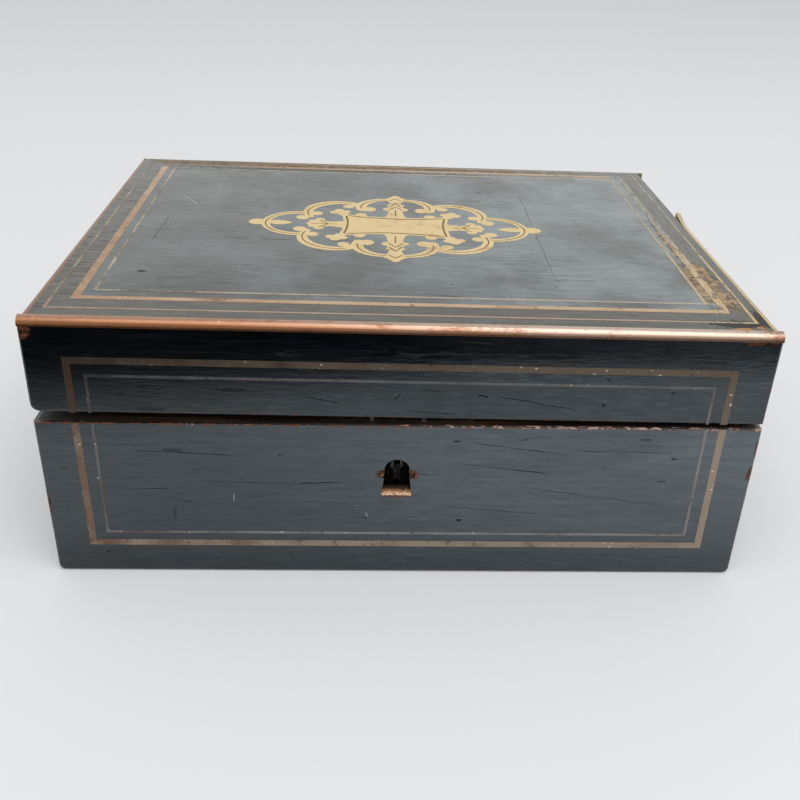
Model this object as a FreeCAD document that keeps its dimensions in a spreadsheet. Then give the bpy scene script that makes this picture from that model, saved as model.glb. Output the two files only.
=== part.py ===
"""A decorative box: ebonised casket with metal stringing, a hinged lid and a box lock.

Millimetres. The origin is the middle of the underside, X runs to the right seen
from the front, Y to the back and Z up.
"""
import FreeCAD
import Part

import math
import os
import re

from FreeCAD import Placement, Rotation, Vector

# Driving sizes: name, number and what it measures.
SIZES = [
    # the carcass
    ("box_width", 250, "outside, left to right"),
    ("box_depth", 194, "outside, front to back"),
    ("base_height", 63, "underside to the rim of the base"),
    ("lid_height", 37.5, "rim of the base to the top of the lid"),
    ("gap_front", 2.95, "the lid stands ajar: gap at the middle of the front"),
    ("gap_back", 1.3, "gap at the middle of the back"),
    ("lid_lean", 0.5, "degrees: the lid sits askew, its left side higher"),
    ("wall_thickness", 9, "boards and rails"),
    ("veneer_thickness", 1.2, "sawn veneer"),
    ("bottom_thickness", 7, "bottom board"),
    ("lid_board_thickness", 7, "board of the lid's top"),
    ("corner_rebate", 4.5, "how far the side boards enter the front and back"),
    ("bottom_rebate", 4, "how far the bottom board enters the walls"),
    ("lid_rebate", 4, "how far the lid's board enters the rails"),
    ("arris_radius", 1.0, "upright corners of the box"),
    ("lid_corner_wear", 3.0, "lid's worn lower left corner"),
    ("back_left_round", 7.0, "lid's back left corner, seen from above"),
    ("back_right_round", 4.0, "lid's back right corner, seen from above"),
    ("base_corner_wear", 2.2, "base's worn lower corners"),
    # edge beads
    ("bead_size", 3.0, "square that an edge bead fills"),
    ("bead_radius", 2.8, "rounding of an edge bead"),
    ("loose_strip_seated", 103, "right bead: length that still holds"),
    ("loose_strip_length", 25, "right bead: length that has lifted"),
    ("loose_strip_radius", 130, "right bead: bend of the lifted length"),
    ("bead_pin_radius", 0.8, "pin that holds the front bead"),
    ("bead_pin_length", 6, "its length"),
    ("bead_pin_proud", 0.15, "its head above the bead"),
    ("bead_pin_depth_share", 0.3, "share of the bead's square that the round takes off"),
    # stringing of the lid's top, from the beads inwards
    ("top_rim_side", 3.2, "bead to the outer thin line, at the sides"),
    ("top_rim_front", 5.2, "the same at the front"),
    ("top_rim_back", 1.6, "the same at the back"),
    ("top_border_side", 5.7, "outer thin line to the wide line, at the sides"),
    ("top_border_front", 6.9, "the same at the front"),
    ("top_border_back", 4.6, "the same at the back"),
    ("top_margin_side", 3.0, "wide line to the inner thin line, at the sides"),
    ("top_margin_front", 4.7, "the same at the front"),
    ("top_margin_back", 3.9, "the same at the back"),
    ("wide_line", 2.8, "wide stringing of the top"),
    ("thin_line", 1.1, "thin stringing of the top"),
    ("line_depth", 0.8, "depth of the stringing in the veneer"),
    ("line_proud", 0.06, "stringing above the veneer"),
    # stringing of the front
    ("front_wide_side", 12.8, "side to the wide line"),
    ("front_wide_top", 13.6, "lid's top to the wide line"),
    ("front_wide_bottom", 11.7, "underside to the wide line"),
    ("front_wide_line", 2.5, "wide stringing of the front"),
    ("front_gap_side", 4.0, "wide to thin line, at the sides"),
    ("front_gap_top", 3.8, "wide to thin line, at the top"),
    ("front_gap_bottom", 3.0, "wide to thin line, at the bottom"),
    ("front_thin_line", 1.0, "thin stringing of the front"),
    # inlaid cartouche
    ("cartouche_length", 121, "tip to tip"),
    ("cartouche_aside", 1.5, "how far left of the middle it sits"),
    ("cartouche_forward", 1.05, "how far in front of the field's middle it sits"),
    ("cartouche_turn", 1.25, "degrees: it was let in askew, clockwise from above"),
    ("engraving_width", 0.5, "engraved line"),
    ("shield_line_width", 0.8, "engraved line round the shield"),
    ("engraving_depth", 0.3, "its depth"),
    # keyhole and lock
    ("lock_offset", -1.5, "lock's middle from the box's middle"),
    ("keyhole_drop", 18.1, "rim to the middle of the keyhole's round"),
    ("keyhole_radius", 4.5, "round of the keyhole"),
    ("keyhole_skirt", 10.7, "from its middle down to the foot"),
    ("keyhole_foot", 10.8, "width of the foot"),
    ("keyhole_waist", 8.4, "width under the round"),
    ("keyhole_lobe_radius", 1.9, "broken lobes beside the round"),
    ("keyhole_lobe_reach", 4.6, "their middle from the keyhole's middle"),
    ("keyhole_lobe_drop", 1.6, "their middle below the round's middle"),
    ("keyhole_wall", 1.8, "wood left in front of the lock"),
    ("lock_plate_thickness", 1.2, "lock's plate"),
    ("lock_plate_margin", 7, "plate beside the cap"),
    ("lock_plate_foot", 4.5, "plate below the cap"),
    ("selvedge_thickness", 1.4, "lock's top plate"),
    ("lock_sheet", 1.0, "metal of the cap"),
    ("lock_clearance", 0.3, "cap to the wood"),
    ("cap_hole_radius", 2.4, "round of the cap's keyhole"),
    ("cap_slot_width", 2.4, "slot of the cap's keyhole"),
    ("key_pin_radius", 1.2, "pin for a pipe key"),
    ("key_pin_length", 6.5, "its length in front of the plate"),
    ("staple_spacing", 18, "between the two staples"),
    ("staple_thickness", 1.6, "across the bolt's travel"),
    ("staple_reach", 6.4, "below the selvedge"),
    ("staple_clearance", 0.6, "staple to lock"),
    ("staple_wall", 0.6, "metal round the eye, at the sides"),
    ("staple_foot", 0.9, "metal below the eye"),
    ("bolt_clearance", 0.25, "bolt to plate, finger to eye"),
    ("finger_height", 2.5, "bolt's fingers"),
    ("stem_width", 2.5, "what carries each finger"),
    ("bolt_height", 5, "bolt's bar"),
    ("bolt_travel", 4, "slide from open to locked"),
    ("bolt_gap", 0.6, "open finger to its staple"),
    ("bolt_end_room", 1.2, "bolt to the cap's side when open"),
    ("talon_width", 6, "notch where the key pushes"),
    ("talon_depth", 2, "its depth"),
    ("spring_length", 11, "spring under the bolt"),
    ("spring_thickness", 0.5, "its leaf"),
    ("spring_drop", 3.2, "how far it bends down"),
    ("spring_post_radius", 1.1, "post that holds it"),
    ("strike_margin", 9, "strike plate beyond the staples"),
    ("strike_thickness", 1.4, "strike plate"),
    ("strike_width", 6, "strike plate, front to back"),
    # hinges
    ("hinge_inset", 34, "side of the box to the hinge's end"),
    ("hinge_length", 32, "along the pin"),
    ("hinge_axis_inset", 2.6, "pin's middle from the back face"),
    ("hinge_gap", 0.8, "between the two leaves"),
    ("knuckle_radius", 2.0, "outside"),
    ("knuckle_gap", 0.15, "between knuckles"),
    ("hinge_pin_radius", 1.0, "pin"),
    ("pin_clearance", 0.05, "pin in its knuckles"),
    ("relief_clearance", 0.35, "wood round the knuckles"),
    ("leaf_thickness", 1.3, "leaf"),
    ("leaf_margin", 0.4, "leaf to the inner face"),
    ("leaf_screw_share", 0.36, "outer screws from the middle, share of the length"),
    ("leaf_row_share", 0.66, "screws from the pin, share of the leaf"),
    ("lid_stop_angle", 100, "degrees: opening where the bevels meet"),
    ("bevel_clearance", 0.2, "bevel from the pin's middle"),
    # fasteners
    ("screw_head_radius", 1.6, "countersunk head"),
    ("screw_head_height", 1.0, "its cone"),
    ("screw_shank_radius", 0.8, "shank"),
    ("screw_length", 6, "whole length"),
    ("screw_slot_width", 0.5, "driver's slot"),
    ("screw_slot_depth", 0.5, "its depth"),
    ("screw_edge", 3.2, "lock screws from the plate's edge"),
    ("nail_head_radius", 1.4, "bottom nails"),
    ("nail_head_height", 0.6, "their heads"),
    ("nail_radius", 0.7, "their shanks"),
    ("nail_length", 15, "whole length"),
    # lining
    ("lining_thickness", 1.0, "covered cards"),
    ("lining_setback", 3.0, "cards below the rim"),
    ("lining_clearance", 0.5, "cards round the lock"),
    # how cuts and searches are made
    ("overrun", 2, "how far a cut passes a face"),
    ("same_place", 0.001, "two points closer than this are one"),
]

# Places as shares of the size that they follow.
FRONT_PIN_SHARES = (-0.478, -0.242)
LONG_NAIL_SHARES = (-0.4, -0.13, 0.13, 0.4)
SHORT_NAIL_SHARES = (-0.26, 0.26)
# The largest rounding that a wall carries.
ROUND_LIMIT_SHARE = 0.96

# The cartouche, in shares of half its length. A scroll: middle x and y, radius, band, swell of the band.
# Its angles: first, sweep, and the way to its thickest place.
END_SCROLL_SHARES = (-0.663, 0.0, 0.223, 0.056, 0.0)
END_SCROLL_ANGLES = (70, 220, 180)
CORNER_SCROLL_SHARES = (-0.4, -0.264, 0.2315, 0.039, 0.04)
CORNER_SCROLL_ANGLES = (148, 152, 224)
MIDDLE_SCROLL_SHARES = (-0.081, -0.3985, 0.183, 0.047, 0.032)
MIDDLE_SCROLL_ANGLES = (160, 124, 185)
# How far short of a scroll's ends its engraved line stops, in degrees.
SCROLL_LINE_MARGIN = 12
# Scroll eyes, leaf lobes and rosettes, for one quarter: middle x and y, radius.
EYE_SHARES = (
    (-0.643, -0.122, 0.045),
    (-0.552, -0.218, 0.042),
    (-0.338, -0.395, 0.04),
    (-0.31, -0.424, 0.03),
    (-0.188, -0.348, 0.05),
    (-0.236, -0.338, 0.034),
    (-0.43, -0.257, 0.034),
    (-0.372, -0.228, 0.036),
    (-0.35, -0.27, 0.034),
    (-0.397, -0.298, 0.034),
    (-0.388, -0.263, 0.03),
    (-0.24, -0.215, 0.04),
    (-0.055, -0.362, 0.036),
    (-0.04, -0.452, 0.024),
    (-0.056, -0.6, 0.022),
    (-0.52, -0.085, 0.034),
    (-0.566, -0.046, 0.03),
)
# Stem to the front tip: start, end, half width at the start and at the end.
STEM_SHARES = (
    (0.13, 0.205, 0.12, 0.066),
    (0.2, 0.33, 0.066, 0.046),
    (0.32, 0.4, 0.06, 0.06),
    (0.39, 0.5, 0.056, 0.04),
    (0.49, 0.585, 0.04, 0.06),
    (0.575, 0.64, 0.064, 0.05),
    (0.63, 0.69, 0.05, 0.016),
)
# Leaf to the left tip, the same way.
LEAF_SHARES = (
    (0.33, 0.46, 0.08, 0.042),
    (0.45, 0.545, 0.05, 0.075),
    (0.54, 0.61, 0.06, 0.012),
)
# Engraved veins of a stem and a leaf: how far out each begins on the middle line, how far out and
# how far aside it ends.
STEM_VEIN_SHARES = (
    (0.215, 0.345, 0.0),
    (0.42, 0.345, 0.05),
    (0.5, 0.42, 0.04),
    (0.62, 0.565, 0.045),
)
LEAF_VEIN_SHARES = (
    (0.4, 0.58, 0.0),
    (0.46, 0.52, 0.075),
)
# End leaf: first and last x, half height. End knob: middle x, radius.
ALMOND_SHARES = (-0.91, -0.7, 0.046)
KNOB_SHARES = (-0.94, 0.06)
# Plate: half length, half depth, hollow of the long and the short sides, border.
PLATE_SHARES = (0.385, 0.24, 0.065, 0.03, 0.028)

# Formulas that several pieces share.
HALF_WIDTH = "(box_width / 2)"
HALF_DEPTH = "(box_depth / 2)"
CORE_X = f"({HALF_WIDTH} - veneer_thickness)"
CORE_Y = f"({HALF_DEPTH} - veneer_thickness)"
ROOM_X = f"({CORE_X} - wall_thickness)"
ROOM_Y = f"({CORE_Y} - wall_thickness)"
TOP = "(base_height + lid_height)"
CORE_TOP = f"({TOP} - veneer_thickness)"
BEAD_Z = f"({TOP} - bead_size)"
LID_FRONT_Z = "(base_height + gap_front)"
LID_BACK_Z = "(base_height + gap_back)"
LID_MIDDLE_Z = "(base_height + lid_height / 2)"
LID_LEAF_Z = "(base_height + hinge_gap)"
AXIS_Y = f"({HALF_DEPTH} - hinge_axis_inset)"
AXIS_Z = "(base_height + hinge_gap / 2)"

X, Y, Z = Vector(1, 0, 0), Vector(0, 1, 0), Vector(0, 0, 1)
SIDES = (("left", -1), ("right", 1))
ALIASES = {name for name, number, note in SIZES}

doc = FreeCAD.newDocument("decorative_box")
sheet = doc.addObject("Spreadsheet::Sheet", "sizes")
for row, (alias, number, note) in enumerate(SIZES, start=1):
    sheet.set(f"A{row}", alias)
    sheet.set(f"B{row}", str(number))
    sheet.set(f"C{row}", note)
    sheet.setAlias(f"B{row}", alias)
doc.recompute()

nodes = []


def value(alias):
    """A size as the sheet holds it now."""
    return float(sheet.get(alias))


def formula(text):
    """Point each size named in a formula at the sheet."""
    return re.sub(
        r"[a-z][a-z0-9_]*",
        lambda word: f"sizes.{word.group()}" if word.group() in ALIASES else word.group(),
        str(text),
    )


def bind(item, **properties):
    for name, text in properties.items():
        item.setExpression(name, formula(text))


def place(item, at, rotation=None):
    """Put an object at three formulas, turned by a fixed rotation."""
    if rotation is not None:
        item.Placement = Placement(Vector(), rotation)
    for axis, text in zip("xyz", at):
        item.setExpression(f"Placement.Base.{axis}", formula(text))


def box(name, at, length, width, height):
    item = doc.addObject("Part::Box", name)
    bind(item, Length=length, Width=width, Height=height)
    place(item, at)
    return item


def cylinder(name, at, radius, height, rotation=None, sweep=360):
    item = doc.addObject("Part::Cylinder", name)
    bind(item, Radius=radius, Height=height)
    item.Angle = sweep
    place(item, at, rotation)
    return item


def wedge(name, at, along, inward, x, y, z, x_far=None, z_far=None):
    """A block whose far end, along its own Y, may differ from its near end. Ranges are pairs."""
    item = doc.addObject("Part::Wedge", name)
    x_far = x_far or x
    z_far = z_far or z
    bind(item, Xmin=x[0], Xmax=x[1], Ymin=y[0], Ymax=y[1], Zmin=z[0], Zmax=z[1])
    bind(item, X2min=x_far[0], X2max=x_far[1], Z2min=z_far[0], Z2max=z_far[1])
    place(item, at, Rotation(along, inward, along.cross(inward), "XYZ"))
    return item


def strip(name, at, along, inward, length, start, end, width, thickness):
    """A flat strip with its inner edge shortened at each end, for mitred corners."""
    inner = (start, f"{length} - ({end})")
    return wedge(name, at, along, inward, (0, length), (0, width), (0, thickness), x_far=inner)


def cut(name, base, *tools):
    """Take each tool away in turn."""
    item = base
    for count, tool in enumerate(tools, start=1):
        left = doc.addObject("Part::Cut", f"{name}_cut_{count}")
        left.Base = item
        left.Tool = tool
        item = left
    return item


def fuse(name, *items):
    item = doc.addObject("Part::MultiFuse", name)
    item.Shapes = list(items)
    return item


def group(name, items):
    item = doc.addObject("Part::Compound", name)
    item.Links = list(items)
    return item


def round_edges(name, base, rounds):
    """Fillet the edges whose ends all lie at given coordinates: pairs of radius and places."""
    doc.recompute()
    near = value("same_place")
    edges = []
    for radius, places in rounds:
        for count, edge in enumerate(base.Shape.Edges, start=1):
            ends = [vertex.Point for vertex in edge.Vertexes]
            if all(abs(getattr(end, axis) - at) < near for end in ends for axis, at in places.items()):
                edges.append((count, radius, radius))
    item = doc.addObject("Part::Fillet", name)
    item.Base = base
    item.Edges = edges
    return item


def limited(radius, wall):
    """A rounding, kept inside the wall that carries it."""
    return min(value(radius), value(wall) * ROUND_LIMIT_SHARE)


def node(label, item):
    """Name a finished piece."""
    item.Label = label
    nodes.append(item)
    return item


def lean(item):
    """Turn a finished piece of the lid about a line from front to back, as the lid sits on its hinges."""
    leaning = group(f"{item.Name}_leaning", [item])
    leaning.Placement = Placement(Vector(), Rotation(Y, 1))
    bind(leaning, **{
        "Placement.Rotation.Angle": "lid_lean",
        "Placement.Base.x": f"-{LID_MIDDLE_Z} * sin(lid_lean)",
        "Placement.Base.z": f"{LID_MIDDLE_Z} * (1 - cos(lid_lean))",
    })
    return leaning


def from_side(sign, half, inset, size):
    """Where a piece of a size starts, inset from the low or the high side."""
    return f"-{half} + {inset}" if sign < 0 else f"{half} - ({inset}) - ({size})"


# Fasteners


def screw(name, at, rotation):
    """A countersunk screw that points along its own Z, head at the start."""
    head = doc.addObject("Part::Cone", f"{name}_head")
    bind(head, Radius1="screw_head_radius", Radius2="screw_shank_radius", Height="screw_head_height")
    place(head, at, rotation)
    shank = cylinder(f"{name}_shank", at, "screw_shank_radius", "screw_length", rotation)
    slot = doc.addObject("Part::Wedge", f"{name}_slot")
    reach = "screw_head_radius + overrun"
    bind(slot, Xmin=f"-({reach})", Xmax=reach, X2min=f"-({reach})", X2max=reach)
    bind(slot, Ymin="-screw_slot_width / 2", Ymax="screw_slot_width / 2")
    bind(slot, Zmin=0, Zmax="screw_slot_depth", Z2min=0, Z2max="screw_slot_depth")
    place(slot, at, rotation)
    body = fuse(f"{name}_body", head, shank)
    return body, cut(name, body, slot)


DOWN = Rotation(X, 180)
UP = Rotation()
FORWARD = Rotation(X, 90)


def bottom_nails():
    """Nails up through the bottom board's edges into the walls."""
    spots = [(f"{share} * box_width", f"{sign} * ({ROOM_Y} + bottom_rebate / 2)")
             for share in LONG_NAIL_SHARES for sign in (-1, 1)]
    spots += [(f"{sign} * ({ROOM_X} + bottom_rebate / 2)", f"{share} * box_depth")
              for share in SHORT_NAIL_SHARES for sign in (-1, 1)]
    nails = []
    for count, (x, y) in enumerate(spots, start=1):
        head = cylinder(f"nail_{count}_head", (x, y, 0), "nail_head_radius", "nail_head_height")
        shank = cylinder(f"nail_{count}_shank", (x, y, 0), "nail_radius", "nail_length")
        nails.append(fuse(f"nail_{count}", head, shank))
    return node("bottom_nails", group("nails", nails))


# Tools that cut more than one piece


def back_bevel(name, turn):
    """Takes off the back edge behind the hinge pin, below the rim or above it."""
    reach = "(veneer_thickness + wall_thickness)"
    low, high = ("-bevel_clearance", reach) if turn < 0 else (f"-{reach}", "bevel_clearance")
    item = doc.addObject("Part::Wedge", name)
    bind(item, Xmin=f"-{HALF_WIDTH} - overrun", Xmax=f"{HALF_WIDTH} + overrun")
    bind(item, X2min=f"-{HALF_WIDTH} - overrun", X2max=f"{HALF_WIDTH} + overrun")
    bind(item, Ymin=0, Ymax=reach, Zmin=low, Zmax=high, Z2min=low, Z2max=high)
    place(item, (0, AXIS_Y, AXIS_Z), Rotation(X, 1))
    bind(item, **{"Placement.Rotation.Angle": f"{turn} * lid_stop_angle / 2"})
    return item


base_bevel = back_bevel("base_bevel", -1)
lid_bevel = back_bevel("lid_bevel", 1)


def corner_round(side, sign):
    """What rounds off an upright back corner of the lid, seen from above."""
    radius = f"back_{side}_round"
    block = box(
        f"lid_{side}_corner",
        (f"{sign} * ({HALF_WIDTH} - {radius}) - {radius} * {1 if sign < 0 else 0}",
         f"{HALF_DEPTH} - {radius}", "base_height - overrun"),
        radius, radius, "lid_height + overrun * 2")
    keep = cylinder(
        f"lid_{side}_corner_keep",
        (f"{sign} * ({HALF_WIDTH} - {radius})", f"{HALF_DEPTH} - {radius}", "base_height - overrun"),
        radius, "lid_height + overrun * 2")
    return cut(f"lid_{side}_corner_round", block, keep)


corner_rounds = {side: corner_round(side, sign) for side, sign in SIDES}


def keyhole(name, lobes):
    """The keyhole as a block through the front: round, flared skirt and, in the veneer, two lobes."""
    height = "base_height - keyhole_drop"
    front = f"-{HALF_DEPTH} - overrun"
    depth = "veneer_thickness + wall_thickness + overrun * 2"
    turned = Rotation(X, -90)
    pieces = [cylinder(f"{name}_round", ("lock_offset", front, height), "keyhole_radius", depth, turned)]
    skirt = wedge(
        f"{name}_skirt", ("lock_offset", f"{front} + {depth}", f"{height} - keyhole_skirt"), X, Z,
        ("-keyhole_foot / 2", "keyhole_foot / 2"), (0, "keyhole_skirt"), (0, depth),
        x_far=("-keyhole_waist / 2", "keyhole_waist / 2"))
    pieces.append(skirt)
    if lobes:
        for side, sign in SIDES:
            at = (f"lock_offset + {sign} * keyhole_lobe_reach", front, f"{height} - keyhole_lobe_drop")
            pieces.append(cylinder(f"{name}_{side}_lobe", at, "keyhole_lobe_radius", depth, turned))
    return fuse(name, *pieces)


board_keyhole = keyhole("board_keyhole", lobes=False)
veneer_keyhole = keyhole("veneer_keyhole", lobes=True)

# Lock: formulas in its own depth, width and height

PLATE_FACE = f"(-{ROOM_Y} - lock_plate_thickness)"
LOCK_TOP = "(base_height - selvedge_thickness)"
CAP_DEPTH = "(wall_thickness - lock_plate_thickness - keyhole_wall - lock_clearance)"
CAP_ROOM = f"({CAP_DEPTH} - lock_sheet)"
STAPLE_WIDTH = f"({CAP_ROOM} - staple_clearance * 2)"
STAPLE_Y = f"({PLATE_FACE} - {CAP_ROOM} / 2)"
EYE_WIDTH = f"({STAPLE_WIDTH} - staple_wall * 2)"
EYE_HEIGHT = "(finger_height + bolt_clearance * 2)"
STAPLE_Z = f"({LOCK_TOP} - staple_reach)"
FINGER_WIDTH = f"({EYE_WIDTH} - bolt_clearance * 2)"
FINGER_LENGTH = "(bolt_travel + bolt_gap)"
FINGER_Z = f"({STAPLE_Z} + staple_foot + bolt_clearance)"
BAR_Z = f"({STAPLE_Z} - staple_clearance - bolt_height)"
BAR_THICKNESS = f"({CAP_ROOM} / 2 + {FINGER_WIDTH} / 2 - bolt_clearance)"
BOLT_REACH = f"(staple_spacing / 2 + staple_thickness / 2 + bolt_gap + {FINGER_LENGTH} + stem_width)"
CAP_HALF = f"({BOLT_REACH} + bolt_end_room + lock_sheet)"
CAP_HEIGHT = "(keyhole_drop - selvedge_thickness + keyhole_skirt)"
PLATE_HALF = f"({CAP_HALF} + lock_plate_margin)"
PLATE_HEIGHT = f"({CAP_HEIGHT} + lock_plate_foot)"


def lock_outline():
    """The plate and the selvedge before their slots, which the front board is cut to."""
    plate = box(
        "lock_plate", (f"lock_offset - {PLATE_HALF}", PLATE_FACE, f"{LOCK_TOP} - {PLATE_HEIGHT}"),
        f"{PLATE_HALF} * 2", "lock_plate_thickness", PLATE_HEIGHT)
    selvedge = box(
        "selvedge", (f"lock_offset - {PLATE_HALF}", f"{PLATE_FACE} - {CAP_DEPTH}", LOCK_TOP),
        f"{PLATE_HALF} * 2", f"{CAP_DEPTH} + lock_plate_thickness", "selvedge_thickness")
    return fuse("lock_outline", plate, selvedge)


lock_block = lock_outline()
lock_room = box(
    "lock_room",
    (f"lock_offset - {CAP_HALF} - lock_clearance", f"{PLATE_FACE} - {CAP_DEPTH} - lock_clearance",
     f"{LOCK_TOP} - {CAP_HEIGHT} - lock_clearance"),
    f"({CAP_HALF} + lock_clearance) * 2", f"{CAP_DEPTH} + lock_clearance", f"{CAP_HEIGHT} + lock_clearance")


def lock_screws():
    bodies, screws = [], []
    for side, sign in SIDES:
        for end, height in (("upper", "screw_edge"), ("lower", f"{PLATE_HEIGHT} - screw_edge")):
            across = f"lock_offset + {sign} * ({PLATE_HALF} - screw_edge)"
            at = (across, f"-{ROOM_Y}", f"{LOCK_TOP} - ({height})")
            body, finished = screw(f"lock_screw_{side}_{end}", at, FORWARD)
            bodies.append(body)
            screws.append(finished)
    node("lock_screws", group("lock_screw_group", screws))
    return group("lock_screw_holes", bodies)


lock_holes = lock_screws()


def lock():
    """Case, cap, bolt, spring and key pin of the box lock."""
    slots = []
    for side, sign in SIDES:
        room = "staple_clearance"
        slots.append(box(
            f"selvedge_slot_{side}",
            (f"lock_offset + {sign} * staple_spacing / 2 - staple_thickness / 2 - {room}",
             f"{STAPLE_Y} - {STAPLE_WIDTH} / 2 - {room}", f"{LOCK_TOP} - overrun"),
            f"staple_thickness + {room} * 2", f"{STAPLE_WIDTH} + {room} * 2",
            "selvedge_thickness + overrun * 2"))
    node("lock_case", cut("lock_case", lock_block, *slots, lock_holes))

    cap_y = f"{PLATE_FACE} - {CAP_DEPTH}"
    cap_z = f"{LOCK_TOP} - {CAP_HEIGHT}"
    outside = box(
        "cap_outside", (f"lock_offset - {CAP_HALF}", cap_y, cap_z), f"{CAP_HALF} * 2", CAP_DEPTH, CAP_HEIGHT)
    inside = box(
        "cap_inside",
        (f"lock_offset - {CAP_HALF} + lock_sheet", f"{cap_y} + lock_sheet", f"{cap_z} + lock_sheet"),
        f"({CAP_HALF} - lock_sheet) * 2", CAP_DEPTH, CAP_HEIGHT)
    height = "base_height - keyhole_drop"
    hole = cylinder(
        "cap_hole", ("lock_offset", f"{cap_y} - overrun", height), "cap_hole_radius",
        "lock_sheet + overrun * 2", Rotation(X, -90))
    slot = box(
        "cap_slot", ("lock_offset - cap_slot_width / 2", f"{cap_y} - overrun", f"{cap_z} + lock_sheet * 2"),
        "cap_slot_width", "lock_sheet + overrun * 2", f"{height} - ({cap_z} + lock_sheet * 2)")
    node("lock_cap", cut("lock_cap", outside, inside, hole, slot))

    bar_y = f"{PLATE_FACE} - bolt_clearance - {BAR_THICKNESS}"
    left_end = f"(lock_offset - {BOLT_REACH})"
    right_end = "(lock_offset + staple_spacing / 2 - staple_thickness / 2 - bolt_gap)"
    pieces = [box(
        "bolt_bar", (left_end, bar_y, BAR_Z), f"{right_end} - {left_end}", BAR_THICKNESS, "bolt_height")]
    for side, sign in SIDES:
        tip = f"(lock_offset + {sign} * staple_spacing / 2 - staple_thickness / 2 - bolt_gap)"
        foot = f"({tip} - {FINGER_LENGTH} - stem_width)"
        rise = f"{FINGER_Z} + finger_height - {BAR_Z}"
        pieces.append(box(f"bolt_stem_{side}", (foot, bar_y, BAR_Z), "stem_width", FINGER_WIDTH, rise))
        pieces.append(box(
            f"bolt_finger_{side}", (foot, bar_y, FINGER_Z), f"{tip} - {foot}", FINGER_WIDTH, "finger_height"))
    talon = box(
        "bolt_talon",
        ("lock_offset - talon_width / 2 - bolt_travel / 2", f"{bar_y} - overrun", f"{BAR_Z} - overrun"),
        "talon_width", f"{BAR_THICKNESS} + overrun * 2", "talon_depth + overrun")
    node("lock_bolt", cut("lock_bolt", fuse("bolt_blank", *pieces), talon))

    post_x = f"(lock_offset + {CAP_HALF} - lock_sheet - spring_post_radius - bolt_clearance)"
    low = f"({BAR_Z} - spring_drop)"
    high = f"({BAR_Z} - bolt_clearance - spring_thickness)"
    leaf = wedge(
        "spring_leaf", (post_x, f"{PLATE_FACE} - bolt_clearance - {FINGER_WIDTH}", 0), Y, X * -1,
        (0, FINGER_WIDTH), (0, "spring_length"),
        (low, f"{low} + spring_thickness"), z_far=(high, f"{high} + spring_thickness"))
    post = cylinder(
        "spring_post", (post_x, PLATE_FACE, f"{low} + spring_thickness / 2"), "spring_post_radius",
        BAR_THICKNESS, FORWARD)
    node("lock_spring", fuse("lock_spring_blank", leaf, post))
    node("lock_key_pin", cylinder(
        "key_pin", ("lock_offset", PLATE_FACE, height), "key_pin_radius", "key_pin_length", FORWARD))


def strike():
    """Plate under the lid's front rail with the two staples, and its screws."""
    half = "(staple_spacing / 2 + strike_margin)"
    start, near = f"lock_offset - {half}", f"{STAPLE_Y} - strike_width / 2"
    plate = box(
        "strike_bar", (start, near, LID_FRONT_Z), f"{half} * 2", "strike_width", "strike_thickness")
    seat = box(
        "strike_seat", (start, near, f"{LID_FRONT_Z} - overrun"),
        f"{half} * 2", "strike_width", "strike_thickness + overrun")
    pieces, eyes, bodies, screws = [plate], [], [], []
    for side, sign in SIDES:
        left = f"lock_offset + {sign} * staple_spacing / 2 - staple_thickness / 2"
        pieces.append(box(
            f"staple_{side}", (left, f"{STAPLE_Y} - {STAPLE_WIDTH} / 2", STAPLE_Z),
            "staple_thickness", STAPLE_WIDTH, f"{LID_FRONT_Z} + strike_thickness - {STAPLE_Z}"))
        eyes.append(box(
            f"staple_eye_{side}",
            (f"{left} - overrun", f"{STAPLE_Y} - {EYE_WIDTH} / 2", f"{STAPLE_Z} + staple_foot"),
            "staple_thickness + overrun * 2", EYE_WIDTH, EYE_HEIGHT))
        at = (f"lock_offset + {sign} * (staple_spacing / 2 + strike_margin / 2)", STAPLE_Y, LID_FRONT_Z)
        body, finished = screw(f"strike_screw_{side}", at, UP)
        bodies.append(body)
        screws.append(finished)
    holes = group("strike_holes", bodies)
    node("strike_plate", cut("strike_plate", fuse("strike_blank", *pieces), *eyes, holes))
    node("strike_screws", group("strike_screw_group", screws))
    return seat, holes


# Hinges

LEAF_WIDTH = "(veneer_thickness + wall_thickness - hinge_axis_inset - leaf_margin)"
KNUCKLE_COUNT = 5
KNUCKLE = f"((hinge_length + knuckle_gap) / {KNUCKLE_COUNT})"
RELIEF = "(knuckle_radius + relief_clearance)"

hinge_screws = {"base": [], "lid": []}


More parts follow.
